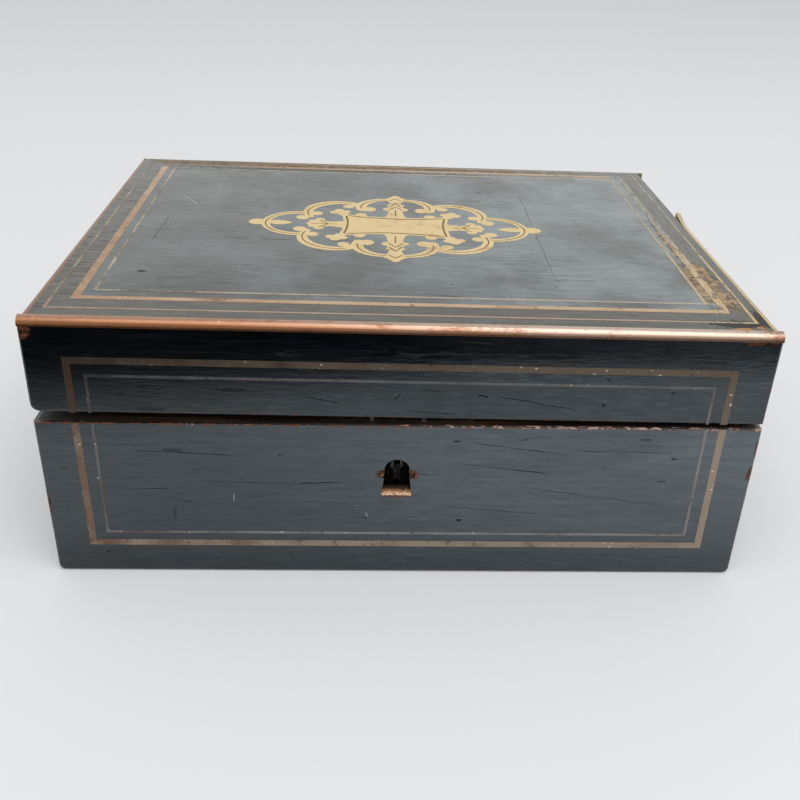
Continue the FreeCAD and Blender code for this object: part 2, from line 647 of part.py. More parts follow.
def hinge(side, sign):
    """One butt hinge. Returns what the base and the lid are cut by."""
    middle = f"({sign} * ({HALF_WIDTH} - hinge_inset - hinge_length / 2))"
    start = f"({middle} - hinge_length / 2)"
    along_x = Rotation(Y, 90)
    bore = cylinder(
        f"hinge_{side}_bore", (f"{start} - overrun", AXIS_Y, AXIS_Z), "hinge_pin_radius + pin_clearance",
        "hinge_length + overrun * 2", along_x)
    node(f"hinge_{side}_pin", cylinder(
        f"hinge_{side}_axle", (start, AXIS_Y, AXIS_Z), "hinge_pin_radius", "hinge_length", along_x))
    relief = cylinder(
        f"hinge_{side}_relief", (f"{start} - relief_clearance", AXIS_Y, AXIS_Z), RELIEF,
        "hinge_length + relief_clearance * 2", along_x)
    tools = {}
    leaves = (("base", "base_height - leaf_thickness", "0", "base_height", DOWN, range(0, KNUCKLE_COUNT, 2)),
              ("lid", LID_LEAF_Z, "hinge_gap", LID_LEAF_Z, UP, range(1, KNUCKLE_COUNT, 2)))
    for owner, bottom, room, face, pointing, own in leaves:
        name = f"hinge_{side}_{owner}"
        near = f"{AXIS_Y} - {LEAF_WIDTH}"
        plate = box(f"{name}_plate", (start, near, bottom), "hinge_length", LEAF_WIDTH, "leaf_thickness")
        seat = box(
            f"{name}_seat", (start, near, f"{bottom} - {room}"),
            "hinge_length", LEAF_WIDTH, f"leaf_thickness + {room}")
        knuckles, notches = [], []
        for count in range(KNUCKLE_COUNT):
            left = f"{start} + {count} * {KNUCKLE}"
            if count in own:
                knuckles.append(cylinder(
                    f"{name}_knuckle_{count}", (left, AXIS_Y, AXIS_Z), "knuckle_radius",
                    f"{KNUCKLE} - knuckle_gap", along_x))
            else:
                notches.append(box(
                    f"{name}_notch_{count}",
                    (f"{left} - knuckle_gap", f"{AXIS_Y} - {RELIEF}", f"{bottom} - overrun"),
                    f"{KNUCKLE} + knuckle_gap", f"{RELIEF} + overrun", "leaf_thickness + overrun * 2"))
        bodies, screws = [], []
        for count, share in enumerate(("-leaf_screw_share", "0", "leaf_screw_share"), start=1):
            at = (f"{middle} + ({share}) * hinge_length", f"{AXIS_Y} - leaf_row_share * {LEAF_WIDTH}", face)
            body, finished = screw(f"{name}_screw_{count}", at, pointing)
            bodies.append(body)
            screws.append(finished)
        holes = group(f"{name}_holes", bodies)
        blank = fuse(f"{name}_blank", cut(f"{name}_open", plate, *notches), *knuckles)
        node(f"hinge_{side}_{owner}_leaf", cut(f"{name}_leaf", blank, bore, holes))
        tools[owner] = (relief, seat, holes)
        hinge_screws[owner] += screws
    return tools


hinge_tools = {side: hinge(side, sign) for side, sign in SIDES}
for owner, screws in hinge_screws.items():
    node(f"hinge_{owner}_screws", group(f"hinge_{owner}_screw_group", screws))


# Base


def base_carcass():
    """Four boards in rebated corners and a bottom board let into them."""
    nails = bottom_nails()
    bottom = box(
        "bottom_blank", (f"-{ROOM_X} - bottom_rebate", f"-{ROOM_Y} - bottom_rebate", 0),
        f"({ROOM_X} + bottom_rebate) * 2", f"({ROOM_Y} + bottom_rebate) * 2", "bottom_thickness")
    sides = []
    for side, sign in SIDES:
        board = box(
            f"base_{side}_blank",
            (from_side(sign, HALF_WIDTH, "veneer_thickness", "wall_thickness"),
             f"-{ROOM_Y} - corner_rebate", 0),
            "wall_thickness", f"({ROOM_Y} + corner_rebate) * 2", "base_height")
        sides.append(board)
        node(f"base_{side}_board", cut(f"base_{side}_board", board, bottom, nails))
    ends = {}
    for end, sign in (("front", -1), ("back", 1)):
        ends[end] = box(
            f"base_{end}_blank",
            (f"-{CORE_X}", from_side(sign, HALF_DEPTH, "veneer_thickness", "wall_thickness"), 0),
            f"{CORE_X} * 2", "wall_thickness", "base_height")
    core_x = value("box_width") / 2 - value("veneer_thickness")
    worn = round_edges("base_front_worn", ends["front"], [
        (value("base_corner_wear"), {"x": sign * core_x, "z": 0}) for side, sign in SIDES])
    lock_tools = (board_keyhole, lock_block, lock_room, lock_holes)
    node("base_front_board", cut("base_front_board", worn, *sides, bottom, nails, *lock_tools))
    hinge_cuts = [tool for side, sign in SIDES for tool in hinge_tools[side]["base"]]
    back_tools = (*sides, bottom, nails, base_bevel, *hinge_cuts)
    node("base_back_board", cut("base_back_board", ends["back"], *back_tools))
    node("base_bottom_board", cut("base_bottom_board", bottom, nails))


def front_frame(name, side, far, width, upper):
    """Three strips let into the front: a U on the base, or the same upside down on the lid."""
    floor_y = f"-{HALF_DEPTH} + line_depth"
    thick = "line_depth + line_proud"
    length = f"({HALF_WIDTH} - {side}) * 2"
    left, right = f"-{HALF_WIDTH} + {side}", f"{HALF_WIDTH} - {side}"
    if upper:
        level = f"({TOP} - {far})"
        run = f"({level} - {LID_FRONT_Z})"
        pieces = [
            strip(
                f"{name}_cross", (right, floor_y, level), X * -1, Z * -1, length, width, width, width, thick),
            strip(f"{name}_left", (left, floor_y, level), Z * -1, X, run, width, 0, width, thick),
            strip(f"{name}_right", (right, floor_y, LID_FRONT_Z), Z, X * -1, run, 0, width, width, thick)]
    else:
        run = f"(base_height - {far})"
        pieces = [
            strip(f"{name}_cross", (left, floor_y, far), X, Z, length, width, width, width, thick),
            strip(f"{name}_left", (left, floor_y, "base_height"), Z * -1, X, run, 0, width, width, thick),
            strip(f"{name}_right", (right, floor_y, far), Z, X * -1, run, width, 0, width, thick)]
    return group(f"{name}_group", pieces)


THIN_SIDE = "(front_wide_side + front_wide_line + front_gap_side)"


def base_skin():
    """Ebonised veneer on the four faces and the stringing of the front."""
    wide = node("base_wide_stringing", front_frame(
        "base_wide", "front_wide_side", "front_wide_bottom", "front_wide_line", False))
    thin = node("base_thin_stringing", front_frame(
        "base_thin", THIN_SIDE, "(front_wide_bottom + front_wide_line + front_gap_bottom)",
        "front_thin_line", False))
    half_x, half_y = value("box_width") / 2, value("box_depth") / 2
    arris, wear = limited("arris_radius", "veneer_thickness"), value("base_corner_wear")
    front = box(
        "base_front_sheet", (f"-{HALF_WIDTH}", f"-{HALF_DEPTH}", 0),
        "box_width", "veneer_thickness", "base_height")
    worn = round_edges("base_front_sheet_worn", front, [
        (wear, {"x": sign * half_x, "z": 0}) for side, sign in SIDES])
    soft = round_edges("base_front_sheet_soft", worn, [
        (arris, {"x": sign * half_x, "y": -half_y}) for side, sign in SIDES])
    node("base_front_veneer", cut("base_front_veneer", soft, wide, thin, veneer_keyhole))
    back = box(
        "base_back_sheet", (f"-{HALF_WIDTH}", CORE_Y, 0), "box_width", "veneer_thickness", "base_height")
    soft = round_edges("base_back_sheet_soft", back, [
        (arris, {"x": sign * half_x, "y": half_y}) for side, sign in SIDES])
    reliefs = [hinge_tools[side]["base"][0] for side, sign in SIDES]
    node("base_back_veneer", cut("base_back_veneer", soft, base_bevel, *reliefs))
    for side, sign in SIDES:
        sheet_blank = box(
            f"base_{side}_sheet", (from_side(sign, HALF_WIDTH, "0", "veneer_thickness"), f"-{CORE_Y}", 0),
            "veneer_thickness", f"{CORE_Y} * 2", "base_height")
        worn = round_edges(f"base_{side}_sheet_worn", sheet_blank, [
            (wear, {"y": -half_y + value("veneer_thickness"), "z": 0})])
        node(f"base_{side}_veneer", cut(f"base_{side}_veneer", worn, base_bevel))


def wall_cards(owner, foot, rise, gap=None):
    """Four cards round the inside; the side cards stand between the front and back ones."""
    cards = []
    for end, sign in (("front", -1), ("back", 1)):
        card = box(
            f"{owner}_{end}_card", (f"-{ROOM_X}", from_side(sign, ROOM_Y, "0", "lining_thickness"), foot),
            f"{ROOM_X} * 2", "lining_thickness", rise)
        cards.append(cut(f"{owner}_{end}_card", card, gap) if gap and sign < 0 else card)
    for side, sign in SIDES:
        cards.append(box(
            f"{owner}_{side}_card",
            (from_side(sign, ROOM_X, "0", "lining_thickness"), f"-{ROOM_Y} + lining_thickness", foot),
            "lining_thickness", f"({ROOM_Y} - lining_thickness) * 2", rise))
    return cards


def base_lining():
    """Covered cards on the floor and against the walls; the front one leaves the lock free."""
    node("base_floor_lining", box(
        "base_floor_card", (f"-{ROOM_X}", f"-{ROOM_Y}", "bottom_thickness"),
        f"{ROOM_X} * 2", f"{ROOM_Y} * 2", "lining_thickness"))
    foot = "(bottom_thickness + lining_thickness)"
    rise = f"base_height - lining_setback - {foot}"
    lock_gap = box(
        "lining_gap",
        (f"lock_offset - {PLATE_HALF} - lining_clearance", f"-{ROOM_Y} - overrun",
         f"{LOCK_TOP} - {PLATE_HEIGHT} - lining_clearance"),
        f"({PLATE_HALF} + lining_clearance) * 2", "lining_thickness + overrun * 2",
        f"{PLATE_HEIGHT} + lining_clearance + selvedge_thickness")
    node("base_wall_linings", group("base_wall_cards", wall_cards("base", foot, rise, lock_gap)))


# Lid

RIM_INSETS = {edge: f"(bead_size + top_rim_{edge})" for edge in ("side", "front", "back")}
WIDE_INSETS = {edge: f"({RIM_INSETS[edge]} + thin_line + top_border_{edge})" for edge in RIM_INSETS}
INNER_INSETS = {edge: f"({WIDE_INSETS[edge]} + wide_line + top_margin_{edge})" for edge in RIM_INSETS}
BEAD_INSETS = {edge: "bead_size" for edge in RIM_INSETS}


def wider(insets, width):
    return {edge: f"({inset} + {width})" for edge, inset in insets.items()}


def top_frame(name, outer, inner, bottom, thickness):
    """Four mitred strips between two rectangles on the lid's top, keyed by edge."""
    side, front, back = (f"({inner[edge]} - {outer[edge]})" for edge in ("side", "front", "back"))
    length = f"(({HALF_WIDTH} - {outer['side']}) * 2)"
    depth = f"(box_depth - {outer['front']} - {outer['back']})"
    x, y = f"({HALF_WIDTH} - {outer['side']})", f"(-{HALF_DEPTH} + {outer['front']})"
    y_far = f"({HALF_DEPTH} - {outer['back']})"
    return {
        "front": strip(f"{name}_front", (f"-{x}", y, bottom), X, Y, length, side, side, front, thickness),
        "right": strip(f"{name}_right", (x, y, bottom), Y, X * -1, depth, front, back, side, thickness),
        "back": strip(
            f"{name}_back", (x, y_far, bottom), X * -1, Y * -1, length, side, side, back, thickness),
        "left": strip(
            f"{name}_left", (f"-{x}", y_far, bottom), Y * -1, X, depth, back, front, side, thickness),
    }


def bead_rebates():
    """Square channels round the lid's top edge, which the beads fill."""
    channels = []
    for end, sign in (("front", -1), ("back", 1)):
        channels.append(box(
            f"bead_channel_{end}", (f"-{HALF_WIDTH}", from_side(sign, HALF_DEPTH, "0", "bead_size"), BEAD_Z),
            "box_width", "bead_size", "bead_size"))
    for side, sign in SIDES:
        channels.append(box(
            f"bead_channel_{side}", (from_side(sign, HALF_WIDTH, "0", "bead_size"), f"-{HALF_DEPTH}", BEAD_Z),
            "bead_size", "box_depth", "bead_size"))
    return channels


def lid_carcass(strike_cuts, pins):
    """Four rails in rebated corners, the side ones tapered, and the top board let into them."""
    top = box(
        "lid_top_blank",
        (f"-{ROOM_X} - lid_rebate", f"-{ROOM_Y} - lid_rebate", f"{CORE_TOP} - lid_board_thickness"),
        f"({ROOM_X} + lid_rebate) * 2", f"({ROOM_Y} + lid_rebate) * 2", "lid_board_thickness")
    node("lid_top_board", lean(cut("lid_top_board", top, pins)))
    channels = bead_rebates()
    seats = []
    for side, sign in SIDES:
        left = from_side(sign, HALF_WIDTH, "veneer_thickness", "wall_thickness")
        near, run = f"-{ROOM_Y} - corner_rebate", f"({ROOM_Y} + corner_rebate) * 2"
        rail = wedge(
            f"lid_{side}_blank", (left, near, 0), X, Y, (0, "wall_thickness"), (0, run),
            (LID_FRONT_Z, CORE_TOP), z_far=(LID_BACK_Z, CORE_TOP))
        seats.append(box(
            f"lid_{side}_seat", (left, near, "base_height"), "wall_thickness", run, "lid_height"))
        node(f"lid_{side}_rail", lean(cut(f"lid_{side}_rail", rail, top, *channels, corner_rounds[side])))
    front = box(
        "lid_front_blank", (f"-{CORE_X}", f"-{CORE_Y}", LID_FRONT_Z), f"{CORE_X} * 2", "wall_thickness",
        f"{CORE_TOP} - {LID_FRONT_Z}")
    worn = round_edges("lid_front_worn", front, [
        (value("lid_corner_wear"), {"x": -value("box_width") / 2 + value("veneer_thickness"),
                                    "z": value("base_height") + value("gap_front")})])
    front = lean(cut("lid_front_shaped", worn, *seats, top, *channels, pins))
    node("lid_front_rail", cut("lid_front_rail", front, *strike_cuts))
    back = box(
        "lid_back_blank", (f"-{CORE_X}", ROOM_Y, LID_BACK_Z), f"{CORE_X} * 2", "wall_thickness",
        f"{CORE_TOP} - {LID_BACK_Z}")
    hinge_cuts = [tool for side, sign in SIDES for tool in hinge_tools[side]["lid"]]
    back = lean(cut("lid_back_shaped", back, *seats, top, *channels, *corner_rounds.values()))
    node("lid_back_rail", cut("lid_back_rail", back, lid_bevel, *hinge_cuts))


def lid_skin():
    """Ebonised veneer on the four faces and the stringing of the front."""
    wide = front_frame("lid_wide", "front_wide_side", "front_wide_top", "front_wide_line", True)
    thin = front_frame(
        "lid_thin", THIN_SIDE, "(front_wide_top + front_wide_line + front_gap_top)", "front_thin_line", True)
    node("lid_front_wide_stringing", lean(wide))
    node("lid_front_thin_stringing", lean(thin))
    half_x, half_y = value("box_width") / 2, value("box_depth") / 2
    arris, wear = limited("arris_radius", "veneer_thickness"), value("lid_corner_wear")
    rim_z = value("base_height") + value("gap_front")
    front = box(
        "lid_front_sheet", (f"-{HALF_WIDTH}", f"-{HALF_DEPTH}", LID_FRONT_Z),
        "box_width", "veneer_thickness", f"{BEAD_Z} - {LID_FRONT_Z}")
    worn = round_edges("lid_front_sheet_worn", front, [(wear, {"x": -half_x, "z": rim_z})])
    soft = round_edges("lid_front_sheet_soft", worn, [
        (arris, {"x": sign * half_x, "y": -half_y}) for side, sign in SIDES])
    node("lid_front_veneer", lean(cut("lid_front_veneer", soft, wide, thin)))
    back = box(
        "lid_back_sheet", (f"-{HALF_WIDTH}", CORE_Y, LID_BACK_Z), "box_width", "veneer_thickness",
        f"{BEAD_Z} - {LID_BACK_Z}")
    soft = round_edges("lid_back_sheet_soft", back, [
        (arris, {"x": sign * half_x, "y": half_y}) for side, sign in SIDES])
    reliefs = [hinge_tools[side]["lid"][0] for side, sign in SIDES]
    back = lean(cut("lid_back_sheet_round", soft, *corner_rounds.values()))
    node("lid_back_veneer", cut("lid_back_veneer", back, lid_bevel, *reliefs))
    for side, sign in SIDES:
        panel = wedge(
            f"lid_{side}_sheet", (from_side(sign, HALF_WIDTH, "0", "veneer_thickness"), f"-{CORE_Y}", 0),
            X, Y, (0, "veneer_thickness"), (0, f"{CORE_Y} * 2"), (LID_FRONT_Z, BEAD_Z),
            z_far=(LID_BACK_Z, BEAD_Z))
        if sign < 0:
            panel = round_edges("lid_left_sheet_worn", panel, [
                (wear, {"y": -half_y + value("veneer_thickness"), "z": rim_z})])
        panel = lean(cut(f"lid_{side}_sheet_round", panel, corner_rounds[side]))
        node(f"lid_{side}_veneer", cut(f"lid_{side}_veneer", panel, lid_bevel))


def lid_top_skin():
    """Border and field veneer of the top, its three frames of stringing and the inlaid cartouche."""
    in_groove = (f"{TOP} - line_depth", "line_depth + line_proud")
    whole = (CORE_TOP, "veneer_thickness")
    outer = top_frame("top_outer_line", RIM_INSETS, wider(RIM_INSETS, "thin_line"), *in_groove)
    inner = top_frame("top_inner_line", INNER_INSETS, wider(INNER_INSETS, "thin_line"), *in_groove)
    wide = top_frame(
        "top_wide_line", WIDE_INSETS, wider(WIDE_INSETS, "wide_line"),
        CORE_TOP, "veneer_thickness + line_proud")
    borders = top_frame("top_border", BEAD_INSETS, WIDE_INSETS, *whole)
    outer_group = group("top_outer_lines", outer.values())
    inner_group = group("top_inner_lines", inner.values())
    node("top_outer_stringing", lean(outer_group))
    node("top_inner_stringing", lean(inner_group))
    node("top_wide_stringing", lean(group("top_wide_lines", wide.values())))
    for edge, border in borders.items():
        tools = (outer_group, *corner_rounds.values())
        node(f"lid_border_{edge}_veneer", lean(cut(f"lid_border_{edge}", border, *tools)))
    blank, inlay = cartouche()
    field = wider(WIDE_INSETS, "wide_line")
    panel = box(
        "lid_field_blank",
        (f"-{HALF_WIDTH} + {field['side']}", f"-{HALF_DEPTH} + {field['front']}", CORE_TOP),
        f"box_width - {field['side']} * 2", f"box_depth - {field['front']} - {field['back']}",
        "veneer_thickness")
    node("lid_field_veneer", lean(cut("lid_field", panel, inner_group, blank)))
    node("cartouche_inlay", lean(inlay))


HALF_CARTOUCHE = "(cartouche_length / 2)"
CARTOUCHE_Y = f"(({INNER_INSETS['front']} - {INNER_INSETS['back']}) / 2 - cartouche_forward)"
INLAY_Z = f"({TOP} - line_depth)"
INLAY_THICK = "(line_depth + line_proud)"
GROOVE_Z = f"({TOP} + line_proud - engraving_depth)"
GROOVE_THICK = "(engraving_depth + overrun)"


def on_cartouche(x_share, y_share, z=INLAY_Z):
    return (f"({x_share}) * {HALF_CARTOUCHE}", f"({y_share}) * {HALF_CARTOUCHE}", z)


def let_in(item):
    """Move a cartouche made about the origin to its place on the lid and turn it."""
    placed = group(f"{item.Name}_let_in", [item])
    place(placed, ("-cartouche_aside", CARTOUCHE_Y, 0), Rotation(Z * -1, 1))
    bind(placed, **{"Placement.Rotation.Angle": "cartouche_turn"})
    return placed


def ring_sector(name, at, hollow_at, radius, band, thickness, start, sweep):
    """Part of a flat ring, from a first angle over a sweep. Its hollow may lie off its middle."""
    turn = Rotation(Z, start)
    outside = cylinder(f"{name}_outside", at, f"{radius} + {band} / 2", thickness, turn, sweep)
    inside = cylinder(f"{name}_inside", hollow_at, f"{radius} - {band} / 2", thickness)
    return cut(name, outside, inside)


def scroll(name, shares, angles, mirror_x, mirror_y):
    """One swelling C-scroll with round ends and its engraved line, in the quarter that the mirrors choose."""
    start, sweep, thickest = angles
    if mirror_x < 0:
        start, thickest = 180 - start - sweep, 180 - thickest
    if mirror_y < 0:
        start, thickest = -start - sweep, -thickest
    x, y, radius, band, swell = shares[0] * mirror_x, shares[1] * mirror_y, *shares[2:]
    away_x, away_y = -math.cos(math.radians(thickest)), -math.sin(math.radians(thickest))
    middle_radius, middle_band = f"{radius} * {HALF_CARTOUCHE}", f"({band} * {HALF_CARTOUCHE})"
    hollow_at = on_cartouche(x + swell * away_x, y + swell * away_y)
    bodies = [ring_sector(
        name, on_cartouche(x, y), hollow_at, middle_radius, middle_band, INLAY_THICK, start, sweep)]
    for end, angle in (("first", start), ("last", start + sweep)):
        end_band = band + swell * math.cos(math.radians(angle - thickest))
        reach = radius + band / 2 - end_band / 2
        end_x = x + reach * math.cos(math.radians(angle))
        end_y = y + reach * math.sin(math.radians(angle))
        end_radius = f"{end_band / 2} * {HALF_CARTOUCHE}"
        bodies.append(cylinder(f"{name}_{end}_end", on_cartouche(end_x, end_y), end_radius, INLAY_THICK))
    line_at = on_cartouche(x + swell * away_x / 2, y + swell * away_y / 2, GROOVE_Z)
    line = ring_sector(
        f"{name}_line", line_at, line_at, middle_radius, "engraving_width", GROOVE_THICK,
        start + SCROLL_LINE_MARGIN, sweep - SCROLL_LINE_MARGIN * 2)
    return bodies, line


def tapered_run(name, shares, across, sign):
    """Tapering pieces one after another from the plate out to a tip, along X or Y."""
    pieces = []
    for count, (start, end, near, far) in enumerate(shares, start=1):
        outward = (Y if across == "x" else X * -1) * sign
        sideways = outward.cross(Z)
        near_half, far_half = f"{near} * {HALF_CARTOUCHE}", f"{far} * {HALF_CARTOUCHE}"
        pieces.append(wedge(
            f"{name}_{count}", on_cartouche(0, 0), sideways, outward, (f"-({near_half})", near_half),
            (f"{start} * {HALF_CARTOUCHE}", f"{end} * {HALF_CARTOUCHE}"), (0, INLAY_THICK),
            x_far=(f"-({far_half})", far_half)))
    return pieces


def veins(name, shares, across, sign):
    """Engraved lines of a stem or a leaf. A slanting one is cut on both sides of the middle."""
    outward = (Y if across == "x" else X * -1) * sign
    sideways = outward.cross(Z)
    lines = []
    for count, (begin, end, aside) in enumerate(shares, start=1):
        for turn in (-1, 1) if aside else (1,):
            first = outward * begin
            along = outward * (end - begin) + sideways * (aside * turn)
            length = f"{along.Length} * {HALF_CARTOUCHE}"
            along.normalize()
            lines.append(wedge(
                f"{name}_{count}_{'left' if turn < 0 else 'right'}", on_cartouche(first.x, first.y, GROOVE_Z),
                along, Z.cross(along), (0, length), ("-engraving_width / 2", "engraving_width / 2"),
                (0, GROOVE_THICK)))
    return lines


def hollow_plate():
    """The blank shield in the middle: four hollow sides, each with an engraved line inside it."""
    half_x, half_y, long_hollow, short_hollow, border = PLATE_SHARES
    plate = box(
        "shield_blank", on_cartouche(-half_x, -half_y), f"{half_x * 2} * {HALF_CARTOUCHE}",
        f"{half_y * 2} * {HALF_CARTOUCHE}", INLAY_THICK)
    hollows, lines = [], []
    for sign in (-1, 1):
        long_radius = (half_x ** 2 + long_hollow ** 2) / (2 * long_hollow)
        short_radius = (half_y ** 2 + short_hollow ** 2) / (2 * short_hollow)
        sides = (("long", 0, sign * (half_y - long_hollow + long_radius), long_radius),
                 ("short", sign * (half_x - short_hollow + short_radius), 0, short_radius))
        for name, x, y, radius in sides:
            key = f"shield_{name}_{'low' if sign < 0 else 'high'}"
            hollows.append(cylinder(key, on_cartouche(x, y), f"{radius} * {HALF_CARTOUCHE}", INLAY_THICK))
            facing = {("long", -1): 90, ("long", 1): 270, ("short", -1): 0, ("short", 1): 180}[(name, sign)]
            reach = (half_x if name == "long" else half_y) - border * 2
            half_angle = math.degrees(math.asin(reach / (radius + border)))
            line_at = on_cartouche(x, y, GROOVE_Z)
            lines.append(ring_sector(
                f"{key}_line", line_at, line_at, f"{radius + border} * {HALF_CARTOUCHE}",
                "shield_line_width", GROOVE_THICK, facing - half_angle, half_angle * 2))
    return cut("shield", plate, *hollows), lines


def end_leaf(side, sign):
    """Pointed leaf inside an end scroll, where two circles overlap."""
    first, last, half = ALMOND_SHARES
    reach = (last - first) / 2
    radius = (reach ** 2 + half ** 2) / (2 * half)
    discs = [cylinder(
        f"end_leaf_{side}_{part}", on_cartouche(-sign * (first + last) / 2, turn * (radius - half)),
        f"{radius} * {HALF_CARTOUCHE}", INLAY_THICK) for part, turn in (("one", -1), ("two", 1))]
    item = doc.addObject("Part::Common", f"end_leaf_{side}")
    item.Base, item.Tool = discs
    return item


def cartouche():
    """The inlay sawn from one sheet. Returns its outline, for the veneer, and the engraved piece."""
    shield, lines = hollow_plate()
    pieces = [shield]
    for side, sign in SIDES:
        mirror = -sign
        bodies, line = scroll(f"end_scroll_{side}", END_SCROLL_SHARES, END_SCROLL_ANGLES, mirror, 1)
        pieces += bodies
        pieces.append(end_leaf(side, sign))
        pieces += tapered_run(f"side_leaf_{side}", LEAF_SHARES, "y", mirror)
        pieces += tapered_run(f"stem_{side}", STEM_SHARES, "x", sign)
        knob_x, knob_radius = KNOB_SHARES
        pieces.append(cylinder(
            f"end_knob_{side}", on_cartouche(mirror * knob_x, 0),
            f"{knob_radius} * {HALF_CARTOUCHE}", INLAY_THICK))
        lines.append(line)
        lines += veins(f"leaf_vein_{side}", LEAF_VEIN_SHARES, "y", mirror)
        lines += veins(f"stem_vein_{side}", STEM_VEIN_SHARES, "x", sign)
        for end, flip in (("front", 1), ("back", -1)):
            for kind, shares, angles in (
                    ("corner", CORNER_SCROLL_SHARES, CORNER_SCROLL_ANGLES),
                    ("middle", MIDDLE_SCROLL_SHARES, MIDDLE_SCROLL_ANGLES)):
                bodies, line = scroll(f"{kind}_scroll_{side}_{end}", shares, angles, mirror, flip)
                pieces += bodies
                lines.append(line)
            for count, (x, y, radius) in enumerate(EYE_SHARES, start=1):
                pieces.append(cylinder(
                    f"eye_{side}_{end}_{count}", on_cartouche(mirror * x, flip * y),
                    f"{radius} * {HALF_CARTOUCHE}", INLAY_THICK))
    blank = fuse("cartouche_blank", *pieces)
    engraved = cut("cartouche", blank, fuse("engraving", *lines))
    return let_in(blank), let_in(engraved)


def edge_beads():
    """Rounded metal strips round the lid's top edge and the pins of the front one."""
    half_x, half_y = value("box_width") / 2, value("box_depth") / 2
    top = value("base_height") + value("lid_height")
    radius = limited("bead_radius", "bead_size")
    inset = "(bead_size * bead_pin_depth_share - bead_pin_proud)"
    shanks = [
        cylinder(
            f"bead_pin_{count}", (f"{share} * box_width", f"-{HALF_DEPTH} + {inset}", f"{TOP} - {inset}"),
            "bead_pin_radius", "bead_pin_length", Rotation(X, -135))
        for count, share in enumerate(FRONT_PIN_SHARES, start=1)]
    pins = group("bead_pin_group", shanks)
    node("bead_pins", lean(pins))
    for end, sign in (("front", -1), ("back", 1)):
        blank = box(
            f"bead_{end}_blank", (f"-{HALF_WIDTH}", from_side(sign, HALF_DEPTH, "0", "bead_size"), BEAD_Z),
            "box_width", "bead_size", "bead_size")
        bead = round_edges(f"bead_{end}", blank, [(radius, {"y": sign * half_y, "z": top})])
        tools = [pins] if sign < 0 else corner_rounds.values()
        node(f"lid_{end}_bead", lean(cut(f"bead_{end}_fitted", bead, *tools)))
    blank = box(
        "bead_left_blank", (f"-{HALF_WIDTH}", f"-{HALF_DEPTH} + bead_size", BEAD_Z), "bead_size",
        "box_depth - bead_size * 2", "bead_size")
    bead = round_edges("bead_left", blank, [(radius, {"x": -half_x, "z": top})])
    node("lid_left_bead", lean(cut("bead_left_fitted", bead, corner_rounds["left"])))
    return pins


def loose_bead():
    """The right bead: a seated length, then a length that has sprung outwards about an upright axis."""
    body = doc.addObject("PartDesign::Body", "loose_bead")
    plane = next(item for item in body.Origin.OriginFeatures if item.Role == "XZ_Plane")
    sketch = body.newObject("Sketcher::SketchObject", "bead_section")
    sketch.AttachmentSupport = [(plane, "")]
    sketch.MapMode = "FlatFace"
    side, rise, round_off = value("bead_size"), value("bead_size"), limited("bead_radius", "bead_size")
    out = -value("loose_strip_radius")
    low_in, low_out = Vector(out - side, 0, 0), Vector(out, 0, 0)
    high_out, high_in = Vector(out, rise - round_off, 0), Vector(out - round_off, rise, 0)
    corner = Vector(out - side, rise, 0)
    middle = Vector(out - round_off, rise - round_off, 0)
    quarter = Part.Circle(middle, Z, round_off)
    arc = Part.ArcOfCircle(quarter, 0, math.pi / 2)
    for shape in (Part.LineSegment(low_in, low_out), Part.LineSegment(low_out, high_out), arc,
                  Part.LineSegment(high_in, corner), Part.LineSegment(corner, low_in)):
        sketch.addGeometry(shape)
    pad = body.newObject("PartDesign::Pad", "seated_length")
    pad.Profile = sketch
    bind(pad, Length="loose_strip_seated - bead_size")
    bend = body.newObject("PartDesign::Revolution", "lifted_length")
    bend.Profile = sketch
    bend.ReferenceAxis = (sketch, ["V_Axis"])
    bend.Reversed = True
    bind(bend, Angle="loose_strip_length / loose_strip_radius * 180 / pi")
    place(body, (f"{HALF_WIDTH} + loose_strip_radius", f"-{HALF_DEPTH} + loose_strip_seated", BEAD_Z))
    node("lid_right_bead", lean(body))


def lid_lining():
    """Covered cards under the lid's board and against its rails."""
    ceiling = f"({CORE_TOP} - lid_board_thickness - lining_thickness)"
    node("lid_ceiling_lining", lean(box(
        "lid_ceiling_card", (f"-{ROOM_X}", f"-{ROOM_Y}", ceiling), f"{ROOM_X} * 2", f"{ROOM_Y} * 2",
        "lining_thickness")))
    foot = f"({LID_FRONT_Z} + lining_setback)"
    cards = wall_cards("lid", foot, f"{ceiling} - {foot}")
    node("lid_wall_linings", lean(group("lid_wall_cards", cards)))


base_carcass()
base_skin()
base_lining()
lock()
strike_tools = strike()
pins = edge_beads()
loose_bead()
lid_carcass(strike_tools, pins)
lid_skin()
lid_top_skin()
lid_lining()
doc.recompute()

for item in doc.Objects:
    if "Invalid" in item.State or "Error" in item.State:
        raise RuntimeError(f"{item.Label} failed: {item.State}")
for item in nodes:
    if item.Shape.isNull() or not item.Shape.isValid() or not item.Shape.Solids:
        raise RuntimeError(f"{item.Label} has no valid solid")

os.makedirs("parts", exist_ok=True)
for item in nodes:
    item.Shape.exportStep(f"parts/{item.Label}.step")
print(len(nodes), "pieces written")
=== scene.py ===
# %% [markdown]
# An old jewellery casket: black polished veneer over a plain wooden carcass, thin
# metal lines let into its front and lid, and a sawn brass ornament in the middle of
# the top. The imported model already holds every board, line and hinge at its real
# size, so this lesson is about finishes: how black polish, tarnished metal, raw wood
# and cloth are built from nodes so that they look right from any side.

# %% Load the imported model
import math

import bpy
from mathutils import Matrix, Vector


